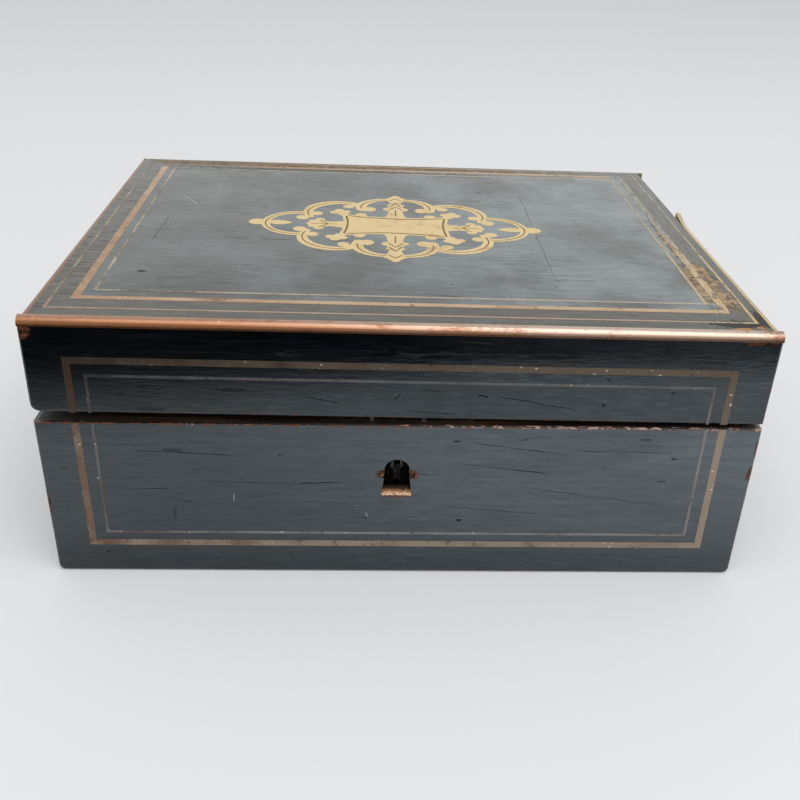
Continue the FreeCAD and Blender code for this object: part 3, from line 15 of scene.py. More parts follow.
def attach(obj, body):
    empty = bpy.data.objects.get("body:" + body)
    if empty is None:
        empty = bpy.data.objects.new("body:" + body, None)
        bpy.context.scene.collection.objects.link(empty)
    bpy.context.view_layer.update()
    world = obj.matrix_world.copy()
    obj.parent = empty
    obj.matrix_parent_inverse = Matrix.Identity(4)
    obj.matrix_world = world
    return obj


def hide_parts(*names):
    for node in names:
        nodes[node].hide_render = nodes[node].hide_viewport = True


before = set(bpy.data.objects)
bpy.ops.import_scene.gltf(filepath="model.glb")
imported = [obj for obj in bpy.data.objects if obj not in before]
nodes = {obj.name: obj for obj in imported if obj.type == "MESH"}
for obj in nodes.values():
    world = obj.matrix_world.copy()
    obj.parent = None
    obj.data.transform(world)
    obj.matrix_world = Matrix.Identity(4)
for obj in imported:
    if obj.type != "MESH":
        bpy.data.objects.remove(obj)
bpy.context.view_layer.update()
MM = 0.001
print(len(nodes), "pieces of the packed model")

# %% [markdown]
# The camera comes first, because every later choice is judged through it. Its place
# and turns were found by matching corners of the box with the same corners in the
# picture. It stands in front and above, turned a little to the right, and it leans a
# little. The turns are joined one after another: lean, look down, look aside.

# %% Camera
CAMERA_PLACE = Vector((-0.01283, -0.37832, 0.22910))
LOOK_ASIDE, LOOK_DOWN, CAMERA_LEAN = 0.04116, 0.50555, 0.03169
LENS_IN_PIXELS, PICTURE_WIDTH = 954.88, 800

camera_data = bpy.data.cameras.new("camera")
camera_data.sensor_width = 36
camera_data.lens = LENS_IN_PIXELS * camera_data.sensor_width / PICTURE_WIDTH
camera = bpy.data.objects.new("camera", camera_data)
bpy.context.scene.collection.objects.link(camera)
turn = (Matrix.Rotation(-LOOK_ASIDE, 4, "Z")
        @ Matrix.Rotation(math.pi / 2 - LOOK_DOWN, 4, "X")
        @ Matrix.Rotation(CAMERA_LEAN, 4, "Z"))
camera.matrix_world = Matrix.Translation(CAMERA_PLACE) @ turn
bpy.context.scene.camera = camera
print("lens of", round(camera_data.lens, 1), "mm")

# %% [markdown]
# A finish is a small machine of nodes. Writing each node by hand hides the idea, so
# two helpers keep the maths readable. A Reading is one number that changes over the
# surface, and ordinary sums on it add Math nodes. A Bench holds a node tree and adds
# any other node, with its settings first and then the values or links of its sockets.

# %% Readings and the bench


class Reading:
    """A value at each point of a surface. Sums on it add Math nodes."""

    def __init__(self, bench, socket):
        self.bench = bench
        self.socket = socket

    def maths(self, operation, first, second=0.0):
        return self.bench.add("ShaderNodeMath", {"operation": operation}, {0: first, 1: second})

    def __add__(self, other):
        return self.maths("ADD", self, other)

    def __radd__(self, other):
        return self.maths("ADD", other, self)

    def __sub__(self, other):
        return self.maths("SUBTRACT", self, other)

    def __rsub__(self, other):
        return self.maths("SUBTRACT", other, self)

    def __mul__(self, other):
        return self.maths("MULTIPLY", self, other)

    def __rmul__(self, other):
        return self.maths("MULTIPLY", other, self)

    def __truediv__(self, other):
        return self.maths("DIVIDE", self, other)

    def __abs__(self):
        return self.maths("ABSOLUTE", self)

    def least(self, other):
        return self.maths("MINIMUM", self, other)

    def most(self, other):
        return self.maths("MAXIMUM", self, other)

    def wave(self):
        return self.maths("SINE", self)


class Bench:
    """A node tree and one way to add to it."""

    def __init__(self, tree):
        self.tree = tree

    def add(self, kind, settings=None, sockets=None, output=0):
        item = self.tree.nodes.new(kind)
        for name, setting in (settings or {}).items():
            setattr(item, name, setting)
        for key, given in (sockets or {}).items():
            if isinstance(given, Reading):
                self.tree.links.new(given.socket, item.inputs[key])
            else:
                item.inputs[key].default_value = given
        return Reading(self, item.outputs[output]) if item.outputs else None


print("bench ready")

# %% [markdown]
# The picture was taken on a pale surface. One large level sheet gives that ground. It
# could be glossy or plain. A plain one is chosen, with its mirror part switched off, so
# that it holds a soft shadow and nothing else.

# %% Floor
FLOOR_WHITE = (0.80, 0.80, 0.805, 1.0)
FLOOR_REACH, FLOOR_DROP = 6.0, 0.0002


def flat_card(name, low, high, height):
    """A level sheet between two corners, for the floor and the card."""
    bpy.ops.object.select_all(action="DESELECT")
    middle = ((low[0] + high[0]) / 2, (low[1] + high[1]) / 2, height)
    bpy.ops.mesh.primitive_plane_add(size=1, location=middle)
    sheet = bpy.context.object
    sheet.name = name
    sheet.scale = (high[0] - low[0], high[1] - low[1], 1)
    bpy.ops.object.transform_apply(location=True, rotation=True, scale=True)
    return sheet


def plain_finish(name, colour, roughness):
    material = bpy.data.materials.new(name)
    material.use_nodes = True
    shader = material.node_tree.nodes["Principled BSDF"]
    shader.inputs["Base Color"].default_value = colour
    shader.inputs["Roughness"].default_value = roughness
    shader.inputs["Specular IOR Level"].default_value = 0.0
    return material


floor = flat_card("floor", (-FLOOR_REACH, -FLOOR_REACH), (FLOOR_REACH, FLOOR_REACH), -FLOOR_DROP)
floor.data.materials.append(plain_finish("pale_floor", FLOOR_WHITE, 0.9))
print("floor", 2 * FLOOR_REACH, "m wide")

# %% [markdown]
# Polished black is hardly coloured at all: what shows on it is its mirror image of the
# room. A card lies on the floor in front of the box, where the real room was dark. Only
# reflections see it, and it makes the black band under the lid's edge. Its near edge
# fades, slowly at the left and sharply at the right, because the band does. Towards the
# right the whole card is a little paler.

# %% Dark card
CARD_BLACK = (0, 0, 0, 1)
SHEET_REACH, SHEET_LIFT = 3.0, 0.0004
SHEET_EDGE_Y = -0.272
FADE_LEFT, FADE_RIGHT = 0.105, 0.012
FADE_SPAN = (-0.17, 0.06)
PALER_SPAN, PALER_SHARE = (0.01, 0.09), 0.065

dark_card = flat_card("dark_card", (-SHEET_REACH, -SHEET_REACH),
                      (SHEET_REACH, SHEET_EDGE_Y + FADE_LEFT), SHEET_LIFT)
card_finish = plain_finish("card_black", CARD_BLACK, 1.0)
dark_card.data.materials.append(card_finish)
card_bench = Bench(card_finish.node_tree)
card_place = card_bench.add("ShaderNodeTexCoord", output="Object")
card_axes = card_bench.add("ShaderNodeSeparateXYZ", sockets={0: card_place}).socket.node.outputs
card_x, card_y = Reading(card_bench, card_axes[0]), Reading(card_bench, card_axes[1])
fade = card_bench.add("ShaderNodeMapRange", None, {
    "Value": card_x, "From Min": FADE_SPAN[0], "From Max": FADE_SPAN[1],
    "To Min": FADE_LEFT, "To Max": FADE_RIGHT})
near = card_bench.add("ShaderNodeMapRange", {"interpolation_type": "SMOOTHSTEP"}, {
    "Value": (card_y - SHEET_EDGE_Y) / fade})
paler = card_bench.add("ShaderNodeMapRange", None, {
    "Value": card_x, "From Min": PALER_SPAN[0], "From Max": PALER_SPAN[1],
    "To Min": 0.0, "To Max": PALER_SHARE})
card_colour = card_bench.add("ShaderNodeMix", {"data_type": "RGBA"}, {
    0: (paler + near).least(1.0), 6: CARD_BLACK, 7: FLOOR_WHITE}, output=2)
card_shader = card_bench.tree.nodes["Principled BSDF"]
card_bench.tree.links.new(card_colour.socket, card_shader.inputs["Base Color"])
dark_card.visible_camera = False
dark_card.visible_diffuse = False
dark_card.visible_shadow = False
dark_card.visible_transmission = False
print("card's edge fades over", FADE_LEFT, "m at the left and", FADE_RIGHT, "m at the right")

# %% [markdown]
# The light is soft and comes a little from the right. The world gives even light all
# round, and one wide lamp stands for a window. For rays that bounce off polish or pass
# through something clear the world is paler, so that gloss mirrors a pale room while
# the light on the box stays at a plain level.

# %% World and lamp
PALE_ROOM = (0.95, 0.972, 0.952, 1.0)
DAYLIGHT = (0.66, 0.665, 0.675, 1.0)
LAMP_SIZE, LAMP_POWER = 2.4, 27
LAMP_PLACE, LAMP_AIM = Vector((0.25, -1.0, 2.0)), Vector((0, 0, 0.05))

world = bpy.data.worlds.new("room")
bpy.context.scene.world = world
world.use_nodes = True
world.node_tree.nodes.clear()
room = Bench(world.node_tree)
glossy = room.add("ShaderNodeLightPath", output="Is Glossy Ray")
through = room.add("ShaderNodeLightPath", output="Is Transmission Ray")
light = room.add("ShaderNodeBackground", sockets={"Color": DAYLIGHT, "Strength": 1.0})
picture = room.add("ShaderNodeBackground", sockets={"Color": PALE_ROOM, "Strength": 1.0})
mixed = room.add("ShaderNodeMixShader", sockets={0: glossy.most(through), 1: light, 2: picture})
room.add("ShaderNodeOutputWorld", sockets={"Surface": mixed})

lamp_data = bpy.data.lights.new("window", "AREA")
lamp_data.shape = "DISK"
lamp_data.size = LAMP_SIZE
lamp_data.energy = LAMP_POWER
lamp = bpy.data.objects.new("window", lamp_data)
lamp.location = LAMP_PLACE
lamp.rotation_euler = (LAMP_AIM - LAMP_PLACE).to_track_quat("-Z", "Y").to_euler()
bpy.context.scene.collection.objects.link(lamp)

bpy.context.scene.view_settings.view_transform = "Standard"
print("lamp of", LAMP_POWER, "W")

# %% [markdown]
# Every finish needs the same few readings: where a point lies on the box in
# millimetres, smooth noise that can be drawn out along the grain, a soft step, a ragged
# patch and a way to send the result to the shader. The lid sits askew by half a degree,
# so for its pieces the place is first turned back square. A line that runs along the
# lid's edge then stays on one number.

# %% Finish
HALF_WIDTH, HALF_DEPTH = 125.0, 97.0
BASE_RIM, TOP = 63.0, 100.5
LID_RIM_MIDDLE, LID_RIM_FALL = 65.125, 1.65 / 194
LID_LEAN = math.radians(0.5)
LID_MIDDLE = Vector((0, 0, 81.75))
SQUARED = Matrix.Rotation(-LID_LEAN, 3, "Y")


class Finish(Bench):
    """A material and the readings that most finishes start from."""

    def __init__(self, name, on_lid=False):
        self.material = bpy.data.materials.new(name)
        self.material.use_nodes = True
        super().__init__(self.material.node_tree)
        self.shader = self.tree.nodes["Principled BSDF"]
        self.on_lid = on_lid
        own = self.add("ShaderNodeTexCoord", output="Object")
        square = {"Vector": own, "Scale": (1 / MM,) * 3}
        if on_lid:
            square["Rotation"] = (0, -LID_LEAN, 0)
            square["Location"] = LID_MIDDLE - SQUARED @ LID_MIDDLE
        self.spot = self.add("ShaderNodeMapping", {"vector_type": "POINT"}, square)
        split = self.add("ShaderNodeSeparateXYZ", sockets={0: self.spot}).socket.node
        self.x, self.y, self.z = (Reading(self, socket) for socket in split.outputs)

    def rise(self, value, low, high):
        """0 at low, 1 at high, smooth between; falls where low is the larger."""
        return self.add("ShaderNodeMapRange", {"interpolation_type": "SMOOTHSTEP"},
                        {"Value": value, "From Min": low, "From Max": high})

    def noise(self, size, stretch=(1, 1, 1), detail=3.0, rough=0.5, bend=0.0, seed=0.0):
        """Lumps of about a size in millimetres, longer along an axis whose stretch is small."""
        moved = self.add("ShaderNodeVectorMath", {"operation": "MULTIPLY_ADD"},
                         {0: self.spot, 1: stretch, 2: (seed, seed * 2, -seed)})
        return self.add("ShaderNodeTexNoise", None, {
            "Vector": moved, "Scale": 1 / size, "Detail": detail, "Roughness": rough,
            "Distortion": bend})

    def dots(self, size, stretch=(1, 1, 1), seed=0.0):
        """Distance from scattered points that lie about a size apart, as a share of it."""
        moved = self.add("ShaderNodeVectorMath", {"operation": "MULTIPLY_ADD"},
                         {0: self.spot, 1: stretch, 2: (seed, -seed, seed * 2)})
        return self.add("ShaderNodeTexVoronoi", None, {"Vector": moved, "Scale": 1 / size})

    def patch(self, middle, reach, ragged=0.7, size=4.0, seed=0.0):
        """1 inside a ragged patch with a middle and a reach along each axis."""
        away = self.add("ShaderNodeVectorMath", {"operation": "SUBTRACT"},
                        {0: self.spot, 1: middle})
        away = self.add("ShaderNodeVectorMath", {"operation": "DIVIDE"}, {0: away, 1: reach})
        far = self.add("ShaderNodeVectorMath", {"operation": "LENGTH"}, {0: away}, output="Value")
        rags = ragged * (self.noise(size, detail=5, seed=seed) - 0.5) * 2
        return self.rise(far + rags, 1.0, 0.6)

    def stroke(self, u, v, start, end, half, sway):
        """1 on a thin wavy line between two points of a face, fading towards its ends."""
        run, climb = end[0] - start[0], end[1] - start[1]
        length = math.hypot(run, climb)
        along = (u - start[0]) * (run / length) + (v - start[1]) * (climb / length)
        across = (v - start[1]) * (run / length) - (u - start[0]) * (climb / length)
        ends = self.rise(along, 0, 0.2 * length) * self.rise(along, length, 0.8 * length)
        return self.rise(abs(across + sway), half, 0.3 * half) * ends

    def blend(self, share, first, second):
        """The first colour where share is 0, the second where it is 1."""
        return self.add("ShaderNodeMix", {"data_type": "RGBA"},
                        {0: share, 6: first, 7: second}, output=2)

    def edge(self):
        """Distance on the surface to the box's nearest edge: the middle one of three insets."""
        across = HALF_WIDTH - abs(self.x)
        deep = HALF_DEPTH - abs(self.y)
        if self.on_lid:
            rim = LID_RIM_MIDDLE - self.y * LID_RIM_FALL
            up = (TOP - self.z).least(self.z - rim)
        else:
            up = self.z.least(BASE_RIM - self.z)
        return across.least(deep).most(across.most(deep).least(up))

    def send(self, colour, roughness, metallic=0.0, height=None, depth=0.03, specular=0.5,
             tint=(1, 1, 1, 1)):
        """Link readings, and set numbers, on the shader. Depth is the bump's, in millimetres."""
        given = {"Base Color": colour, "Roughness": roughness, "Metallic": metallic}
        for name, value in given.items():
            if isinstance(value, Reading):
                self.tree.links.new(value.socket, self.shader.inputs[name])
            else:
                self.shader.inputs[name].default_value = value
        self.shader.inputs["Specular IOR Level"].default_value = specular
        self.shader.inputs["Specular Tint"].default_value = tint
        if height is not None:
            self.normal = self.add("ShaderNodeBump", None,
                                   {"Height": height, "Distance": depth * MM})
            self.tree.links.new(self.normal.socket, self.shader.inputs["Normal"])
        return self.material

    def bare(self, share, colour):
        """Where share is 1 the finish is gone and a dull surface shows instead."""
        dull = self.add("ShaderNodeBsdfPrincipled", None, {
            "Base Color": colour, "Roughness": 0.75, "Specular IOR Level": 0.08,
            "Normal": self.normal})
        polish = Reading(self, self.shader.outputs[0])
        both = self.add("ShaderNodeMixShader", None, {0: share, 1: polish, 2: dull})
        self.tree.links.new(both.socket, self.tree.nodes["Material Output"].inputs["Surface"])


made = {}


def dress(material, *names):
    """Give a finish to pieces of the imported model."""
    for name in names:
        for slot in nodes[name].material_slots:
            slot.material = material
        made[name] = material.name


print("finish helpers ready")

# %% [markdown]
# Ebonised veneer is wood stained black and polished. Up close it isn't one black: the
# grain shows as fine streaks, old polish is cloudy, and in places it has gone brown or
# hazy; that grey haze is also painted sheen, brighter to the right and fainter near the
# foot. A picture of real wood would be quicker, but it would look the same on every
# board, so noise drawn out along the grain is used, with another seed for each board.

# %% Ebonised veneer: grain and colour
JET = (0.0012, 0.0017, 0.0024, 1)
SLATE = (0.0040, 0.0058, 0.0080, 1)
UMBER = (0.050, 0.032, 0.019, 1)
DUST_AND_SHEEN = (0.34, 0.405, 0.445, 1)
SCRATCH_GREY = (0.42, 0.43, 0.42, 1)
GRAIN = {"x": (0.05, 1, 1), "y": (1, 0.05, 1)}
SCUFFS = {"x": (0.35, 1, 1), "y": (1, 0.35, 1)}


class Veneer(Finish):
    """Black polish on one face, with the grain and the clouds that its marks follow."""

    def __init__(self, name, on_lid, along, level, seed):
        super().__init__(name, on_lid)
        self.along, self.level, self.seed = along, level, seed
        self.u, self.v = self.x, self.y if level else self.z
        self.grain = self.noise(1.5, GRAIN[along], detail=5, rough=0.6, seed=seed)
        self.clouds = self.noise(26, SCUFFS[along], detail=6, rough=0.62, seed=seed + 5)
        self.sway = 1.6 * (self.noise(12, detail=4, seed=seed + 9) - 0.5)

    def line(self, begin, stop, half):
        """A crack or a scratch on the face."""
        return self.stroke(self.u, self.v, begin, stop, half, self.sway)


def sheen_haze_share(veneer, left, right, begin):
    """How hazy the polish is: a share at the left, another at the right, in clouds; partly painted
    sheen.
    """
    # painted sheen: the haze grows towards the right, where the polish mirrors more light
    sheen_ramp = left + (right - left) * veneer.rise(veneer.x, begin, HALF_WIDTH)
    # painted shade: less haze near the foot, so the face is darker towards the bottom
    sheen_above_foot = 0.45 + 0.55 * veneer.rise(veneer.z, 4, 40)
    if veneer.level:
        smoke = veneer.noise(34, detail=5, rough=0.6, seed=veneer.seed + 37)
        cloudy = 0.15 + 0.85 * veneer.rise(smoke + 0.2 * (veneer.grain - 0.5), 0.34, 0.66)
    else:
        cloudy = 0.35 + 0.65 * veneer.rise(veneer.clouds + 0.3 * (veneer.grain - 0.5), 0.25, 0.75)
    return sheen_ramp * sheen_above_foot * cloudy


def polish_colour(veneer, brown, sheen_haze, pale):
    """Black with brown clouds, grey haze that is partly painted sheen, pale scratches and specks of
    dust.
    """
    colour = veneer.blend(veneer.rise(veneer.grain, 0.42, 0.70), JET, SLATE)
    if brown:
        thin = veneer.rise(veneer.clouds + 0.4 * (veneer.grain - 0.5), 0.30, 0.62)
        colour = veneer.blend(brown * thin, colour, UMBER)
    if sheen_haze:
        colour = veneer.blend(sheen_haze_share(veneer, *sheen_haze), colour, DUST_AND_SHEEN)
    for scratch in pale:
        colour = veneer.blend(0.45 * veneer.line(*scratch), colour, SCRATCH_GREY)
    speck_size = 0.055 * veneer.rise(veneer.noise(3, seed=veneer.seed + 27), 0.5, 0.8)
    specks = veneer.rise(veneer.dots(8, seed=veneer.seed + 29) - speck_size, 0.012, 0.0)
    return veneer.blend(0.8 * specks, colour, DUST_AND_SHEEN)


print("grain and colour ready")

# %% [markdown]
# Damage is what makes the polish look old. It comes in two kinds. Where the polish is
# broken, in pits, cracks, dents and dull streaks, the surface stays black but loses its
# gloss; the dull band along the foot is painted shade, darker towards the bottom. Where it
# is worn through, along edges and in chips, the wood below shows. Both
# are readings from 0 to 1, and a second, dull shader is mixed in by the stronger one.

# %% Ebonised veneer: damage
RAW_WOOD = (0.15, 0.060, 0.032, 1)
PALE_WOOD = (0.60, 0.42, 0.36, 1)
STREAKS = {"x": (0.16, 1, 1), "y": (1, 0.16, 1)}
CRACK_SHARE = 0.75


def broken_polish(veneer, mottled, foot, dents, cracks):
    """1 where the gloss is lost; along the foot this dull band is painted shade."""
    along, seed = veneer.along, veneer.seed
    pit_noise = veneer.noise(2.2, SCUFFS[along], detail=4, rough=0.6, seed=seed + 7)
    hair = abs(veneer.noise(7, GRAIN[along], detail=3, seed=seed + 11) - 0.5)
    few = veneer.rise(veneer.noise(14, SCUFFS[along], detail=2, seed=seed + 13), 0.54, 0.66)
    streaks = veneer.noise(1.3, STREAKS[along], detail=5, rough=0.7, seed=seed + 19)
    grouped = veneer.rise(streaks + 0.6 * (veneer.clouds - 0.5), 0.40, 0.66)
    broken = veneer.rise(pit_noise, 0.70, 0.74).most(0.7 * few * veneer.rise(hair, 0.006, 0.001))
    # painted shade: a dull black band along the foot, darker towards the bottom
    broken = broken.most(mottled * grouped + foot * veneer.rise(veneer.z, 20, 2))
    for middle, reach, strength in dents:
        broken = broken.most(strength * veneer.patch(middle, reach, 0.9, 2.5, seed))
    faint = 0.60 + 0.40 * veneer.rise(veneer.noise(5, seed=seed + 17), 0.40, 0.60)
    for begin, stop, half in cracks:
        broken = broken.most(faint * veneer.line(begin, stop, CRACK_SHARE * half))
    return broken


def worn_through(veneer, bare, under, flecks):
    """1 where the black is gone, and the colour of the wood that shows there."""
    seed = veneer.seed
    rub_noise = veneer.noise(3.0, detail=5, rough=0.65, seed=seed + 23)
    worn = veneer.rise(veneer.edge() - 3.0 * (rub_noise - 0.46), 0.3, 0.0)
    for middle, reach in bare:
        worn = worn.most(veneer.patch(middle, reach, seed=seed + middle[0]))
    wood = veneer.blend(veneer.rise(0.4 * veneer.grain + 0.6 * rub_noise, 0.42, 0.58), *under)
    if flecks:
        rim = veneer.rise(BASE_RIM - veneer.z, 0.75, 0.25)
        chip_noise = veneer.noise(1.3, (0.4, 1, 1), detail=5, rough=0.7, seed=seed + 31)
        chips = chip_noise + 0.13 * veneer.rise(veneer.x, -20, 30)
        fleck = veneer.blend(veneer.rise(chips, 0.62, 0.72), RAW_WOOD, PALE_WOOD)
        wood = veneer.blend(rim, wood, fleck)
        worn = worn.most(rim * veneer.rise(chips, 0.58, 0.66))
    return worn, wood


print("damage ready")

# %% [markdown]
# Now colour, damage, gloss and bump are put together. The polish is smooth but not flat:
# old boards move, so the mirror image in them wavers, and a very shallow bump from the
# same clouds and grain gives that. Its mirror is tinted a little, bluer on the upright
# faces and greener on the top, because the room was.

# %% Ebonised veneer: the whole finish
WORN_WOOD = (UMBER, RAW_WOOD)
POLISH_TINT = (0.82, 0.93, 1.0, 1)
TOP_TINT = (0.97, 1.0, 0.955, 1)
FIBRES = {"x": (0.02, 1, 1), "y": (1, 0.02, 1)}
POLISH_DEPTH = 0.008


def ebonised(name, on_lid, along, brown=0.0, sheen_haze=(), bare=(), dents=(), cracks=(), pale=(),
             mottled=0.24, foot=0.0, flecks=False, level=False, under=WORN_WOOD, seed=0.0):
    """Black polish with its grain along an axis. Level is for the faces of the top.

    The grey haze is given as its share at the left, at the right, and the x where it begins
    to grow; it is partly real bloom and partly painted sheen. Bare and dents are patches;
    cracks and pale scratches are lines on the face. Mottled is how far the gloss is lost in
    dull streaks, and foot how far along the bottom edge, a dull band that is painted shade.
    Flecks are chips along the base's rim. Under holds the two tones of the wood below.
    """
    veneer = Veneer(name, on_lid, along, level, seed)
    fibres = veneer.noise(0.45, FIBRES[along], detail=2, seed=seed + 3)
    colour = polish_colour(veneer, brown, sheen_haze, pale)
    broken = broken_polish(veneer, mottled, foot, dents, cracks)
    worn, wood = worn_through(veneer, bare, under, flecks)
    roughness = 0.05 + 0.06 * veneer.clouds + 0.03 * veneer.grain
    height = 0.5 * veneer.grain + 0.3 * fibres + 3.0 * veneer.clouds - 3.0 * broken - 2.0 * worn
    tint = TOP_TINT if level else POLISH_TINT
    material = veneer.send(colour, roughness, height=height, depth=POLISH_DEPTH, specular=1.0,
                           tint=tint)
    veneer.bare((0.85 * broken).most(0.9 * worn), veneer.blend(worn, JET, wood))
    return material


print("ebonised veneer ready")

# %% [markdown]
# The front of the box has taken the knocks: chips at the corners and round the keyhole,
# dull dents, and long cracks that run with the grain. They could be left to chance, but
# these were read off the picture, so each has a place. A patch has a middle, how far it
# reaches and, for a dent, how dull it is. A line has its two ends and half its width.

# %% Veneers of the base and of the lid's sides
FACE_Y, THROUGH = -96.5, 9.0
RED_WOOD = ((0.015, 0.006, 0.004, 1), (0.16, 0.055, 0.025, 1))
EVEN_SHEEN_HAZE = (0.06, 0.06, 0)


def on_front(x, z, wide, tall):
    """Middle and reach of a patch on the front."""
    return (x, FACE_Y, z), (wide, THROUGH, tall)


BASE_CHIPS = (on_front(124.5, 45.0, 2.0, 4), on_front(124.6, 55.0, 1.0, 5),
              on_front(-124.6, 30.0, 1.0, 7), on_front(-8.0, 43.0, 1.2, 2.3),
              on_front(5.0, 43.0, 1.3, 2.4), on_front(-2.0, 33.9, 5.5, 0.5))
BASE_DENTS = ((*on_front(-79.5, 52.6, 3.6, 0.8), 0.5), (*on_front(21.6, 23.7, 1.2, 0.6), 1.0),
              (*on_front(85.0, 58.5, 2.2, 0.7), 0.6), (*on_front(19.0, 57.1, 1.8, 0.5), 0.8),
              (*on_front(-75.0, 31.0, 3.0, 0.6), 0.4), (*on_front(-80.5, 26.0, 1.0, 4.5), 0.35),
              (*on_front(-106.0, 8.5, 0.7, 0.6), 0.9))
BASE_SCRATCHES = (((-59.2, 34.6), (-59.2, 31.2), 0.35), ((-11.8, 27.0), (-11.4, 24.6), 0.40))
BASE_CRACKS = (((16.3, 48.9), (55.5, 43.6), 0.42), ((5.0, 43.6), (14.0, 43.3), 0.40),
               ((20.5, 57.3), (64.2, 51.0), 0.32), ((36.7, 39.3), (97.6, 30.4), 0.30),
               ((14.5, 29.5), (55.2, 26.4), 0.30), ((-72.0, 39.9), (-32.0, 38.6), 0.28),
               ((-96.0, 52.3), (-55.3, 50.4), 0.30), ((-38.3, 39.1), (-19.4, 39.6), 0.45),
               ((-19.3, 24.6), (-10.3, 25.0), 0.30), ((-97.9, 35.8), (-80.3, 36.5), 0.25),
               ((57.1, 53.6), (96.6, 53.0), 0.25), ((-37.2, 32.0), (-16.6, 30.2), 0.25))
LID_CHIPS = (on_front(117.0, 96.9, 9, 0.9), on_front(-123.6, 95.4, 3.8, 3.3))
LID_DENTS = ((*on_front(-57.5, 76.1, 6.0, 0.9), 0.5), (*on_front(-86.0, 76.9, 4.0, 0.7), 0.4),
             (*on_front(-85.0, 68.2, 5.0, 0.8), 0.5), (*on_front(-94.5, 73.7, 2.4, 0.9), 0.4),
             (*on_front(68.1, 72.8, 0.9, 0.7), 0.8), (*on_front(91.3, 77.9, 0.9, 0.6), 0.8))
LID_CRACKS = (((29.1, 75.8), (62.7, 70.1), 0.32), ((-1.0, 69.4), (20.6, 67.9), 0.30),
              ((-33.6, 73.8), (-20.2, 71.5), 0.30), ((5.4, 77.2), (13.3, 76.8), 0.40),
              ((24.6, 75.7), (29.2, 74.9), 0.55), ((-82.2, 75.5), (-78.8, 77.2), 0.40),
              ((-3.4, 73.2), (-0.7, 75.8), 0.35), ((67.7, 83.7), (70.3, 81.2), 0.35))

dress(ebonised("ebonised_base_front", False, "x", sheen_haze=(0.05, 0.28, -110), bare=BASE_CHIPS,
               dents=BASE_DENTS, cracks=BASE_CRACKS, pale=BASE_SCRATCHES, mottled=0.20, foot=0.22,
               flecks=True), "base_front_veneer")
dress(ebonised("ebonised_base_back", False, "x", sheen_haze=EVEN_SHEEN_HAZE, seed=40.0), "base_back_veneer")
dress(ebonised("ebonised_base_sides", False, "y", sheen_haze=EVEN_SHEEN_HAZE, seed=60.0),
      "base_left_veneer", "base_right_veneer")
dress(ebonised("ebonised_lid_front", True, "x", sheen_haze=(0.0, 0.05, -10), bare=LID_CHIPS,
               dents=LID_DENTS, cracks=LID_CRACKS, mottled=0.28, under=RED_WOOD, seed=80.0),
      "lid_front_veneer")
dress(ebonised("ebonised_lid_back", True, "x", sheen_haze=EVEN_SHEEN_HAZE, seed=100.0), "lid_back_veneer")
dress(ebonised("ebonised_lid_sides", True, "y", sheen_haze=EVEN_SHEEN_HAZE, seed=120.0),
      "lid_left_veneer", "lid_right_veneer")
print(len(made), "upright veneers dressed")

# %% [markdown]
# The top has a smoky field and a border of four strips; the field's grey haze is partly
# painted sheen that grows to the right. Hands and the loose strip wore
# the right side down to golden wood, the back border is brown, and a piece has split off
# at the front right corner. The field's two dark lines are seams in the veneer.

# %% Veneers of the top
RUBBED_GOLD = ((0.13, 0.10, 0.07, 1), (0.46, 0.32, 0.18, 1))
OLIVE_WOOD = ((0.14, 0.100, 0.062, 1), (0.26, 0.205, 0.140, 1))
SPLIT_WOOD = ((0.045, 0.025, 0.015, 1), (0.55, 0.27, 0.10, 1))


def on_top(x, y, wide, deep):
    """Middle and reach of a patch on the top."""
    return (x, y, TOP), (wide, deep, THROUGH)


FIELD_SEAMS = (((56.6, 59.0), (55.8, -59.8), 0.26), ((-95.6, 11.0), (-96.5, -25.8), 0.30))
FIELD_SCRATCHES = (((-94.5, 36.9), (-85.1, 23.3), 0.45), ((-60.0, -52.0), (-48.0, -54.0), 0.25),
                   ((70.0, 20.0), (96.0, 17.0), 0.30))
FIELD_DENTS = ((*on_top(37.7, 52.5, 2.2, 1.4), 0.5), (*on_top(21.9, 78.6, 2.0, 1.2), 0.5),
               (*on_top(-93.6, -54.6, 2.2, 0.9), 0.9), (*on_top(-80.0, -60.0, 9.0, 1.2), 0.25),
               (*on_top(-82.0, -69.0, 5.0, 1.2), 0.3), (*on_top(-35.0, 82.0, 85.0, 2.0), 0.6))
WORN_FIELD = (on_top(107.5, -56.0, 3.0, 26.0), on_top(109.0, -10.0, 1.6, 34.0))
DARK_CORNER = ((*on_top(112.0, -89.5, 13, 4.0), 0.8), (*on_top(121.0, -84.0, 4, 7), 0.8))
SPLIT_CORNER = (on_top(119.0, -92.0, 3.5, 1.3), on_top(112.0, -93.2, 6.0, 0.8))
WORN_BORDER = (on_top(113.0, -50.0, 5.0, 22.0), on_top(113.5, -70.0, 5.0, 10.0))
WORN_BACK = (on_top(-45.0, 91.0, 135.0, 7.0),)

dress(ebonised("ebonised_field", True, "x", sheen_haze=(0.14, 0.46, -110), bare=WORN_FIELD,
               dents=FIELD_DENTS, cracks=FIELD_SEAMS, pale=FIELD_SCRATCHES, level=True,
               under=RUBBED_GOLD, seed=140.0), "lid_field_veneer")
dress(ebonised("ebonised_border_front", True, "x", brown=0.6, bare=SPLIT_CORNER,
               dents=DARK_CORNER, level=True, under=SPLIT_WOOD, seed=160.0),
      "lid_border_front_veneer")
dress(ebonised("ebonised_border_back", True, "x", brown=1.0, bare=WORN_BACK, level=True,
               under=OLIVE_WOOD, seed=180.0), "lid_border_back_veneer")
dress(ebonised("ebonised_border_left", True, "x", brown=1.0, mottled=0.45, level=True,
               seed=200.0), "lid_border_left_veneer")
dress(ebonised("ebonised_border_right", True, "y", brown=1.0, bare=WORN_BORDER,
               dents=DARK_CORNER, level=True, under=RUBBED_GOLD, seed=220.0),
      "lid_border_right_veneer")
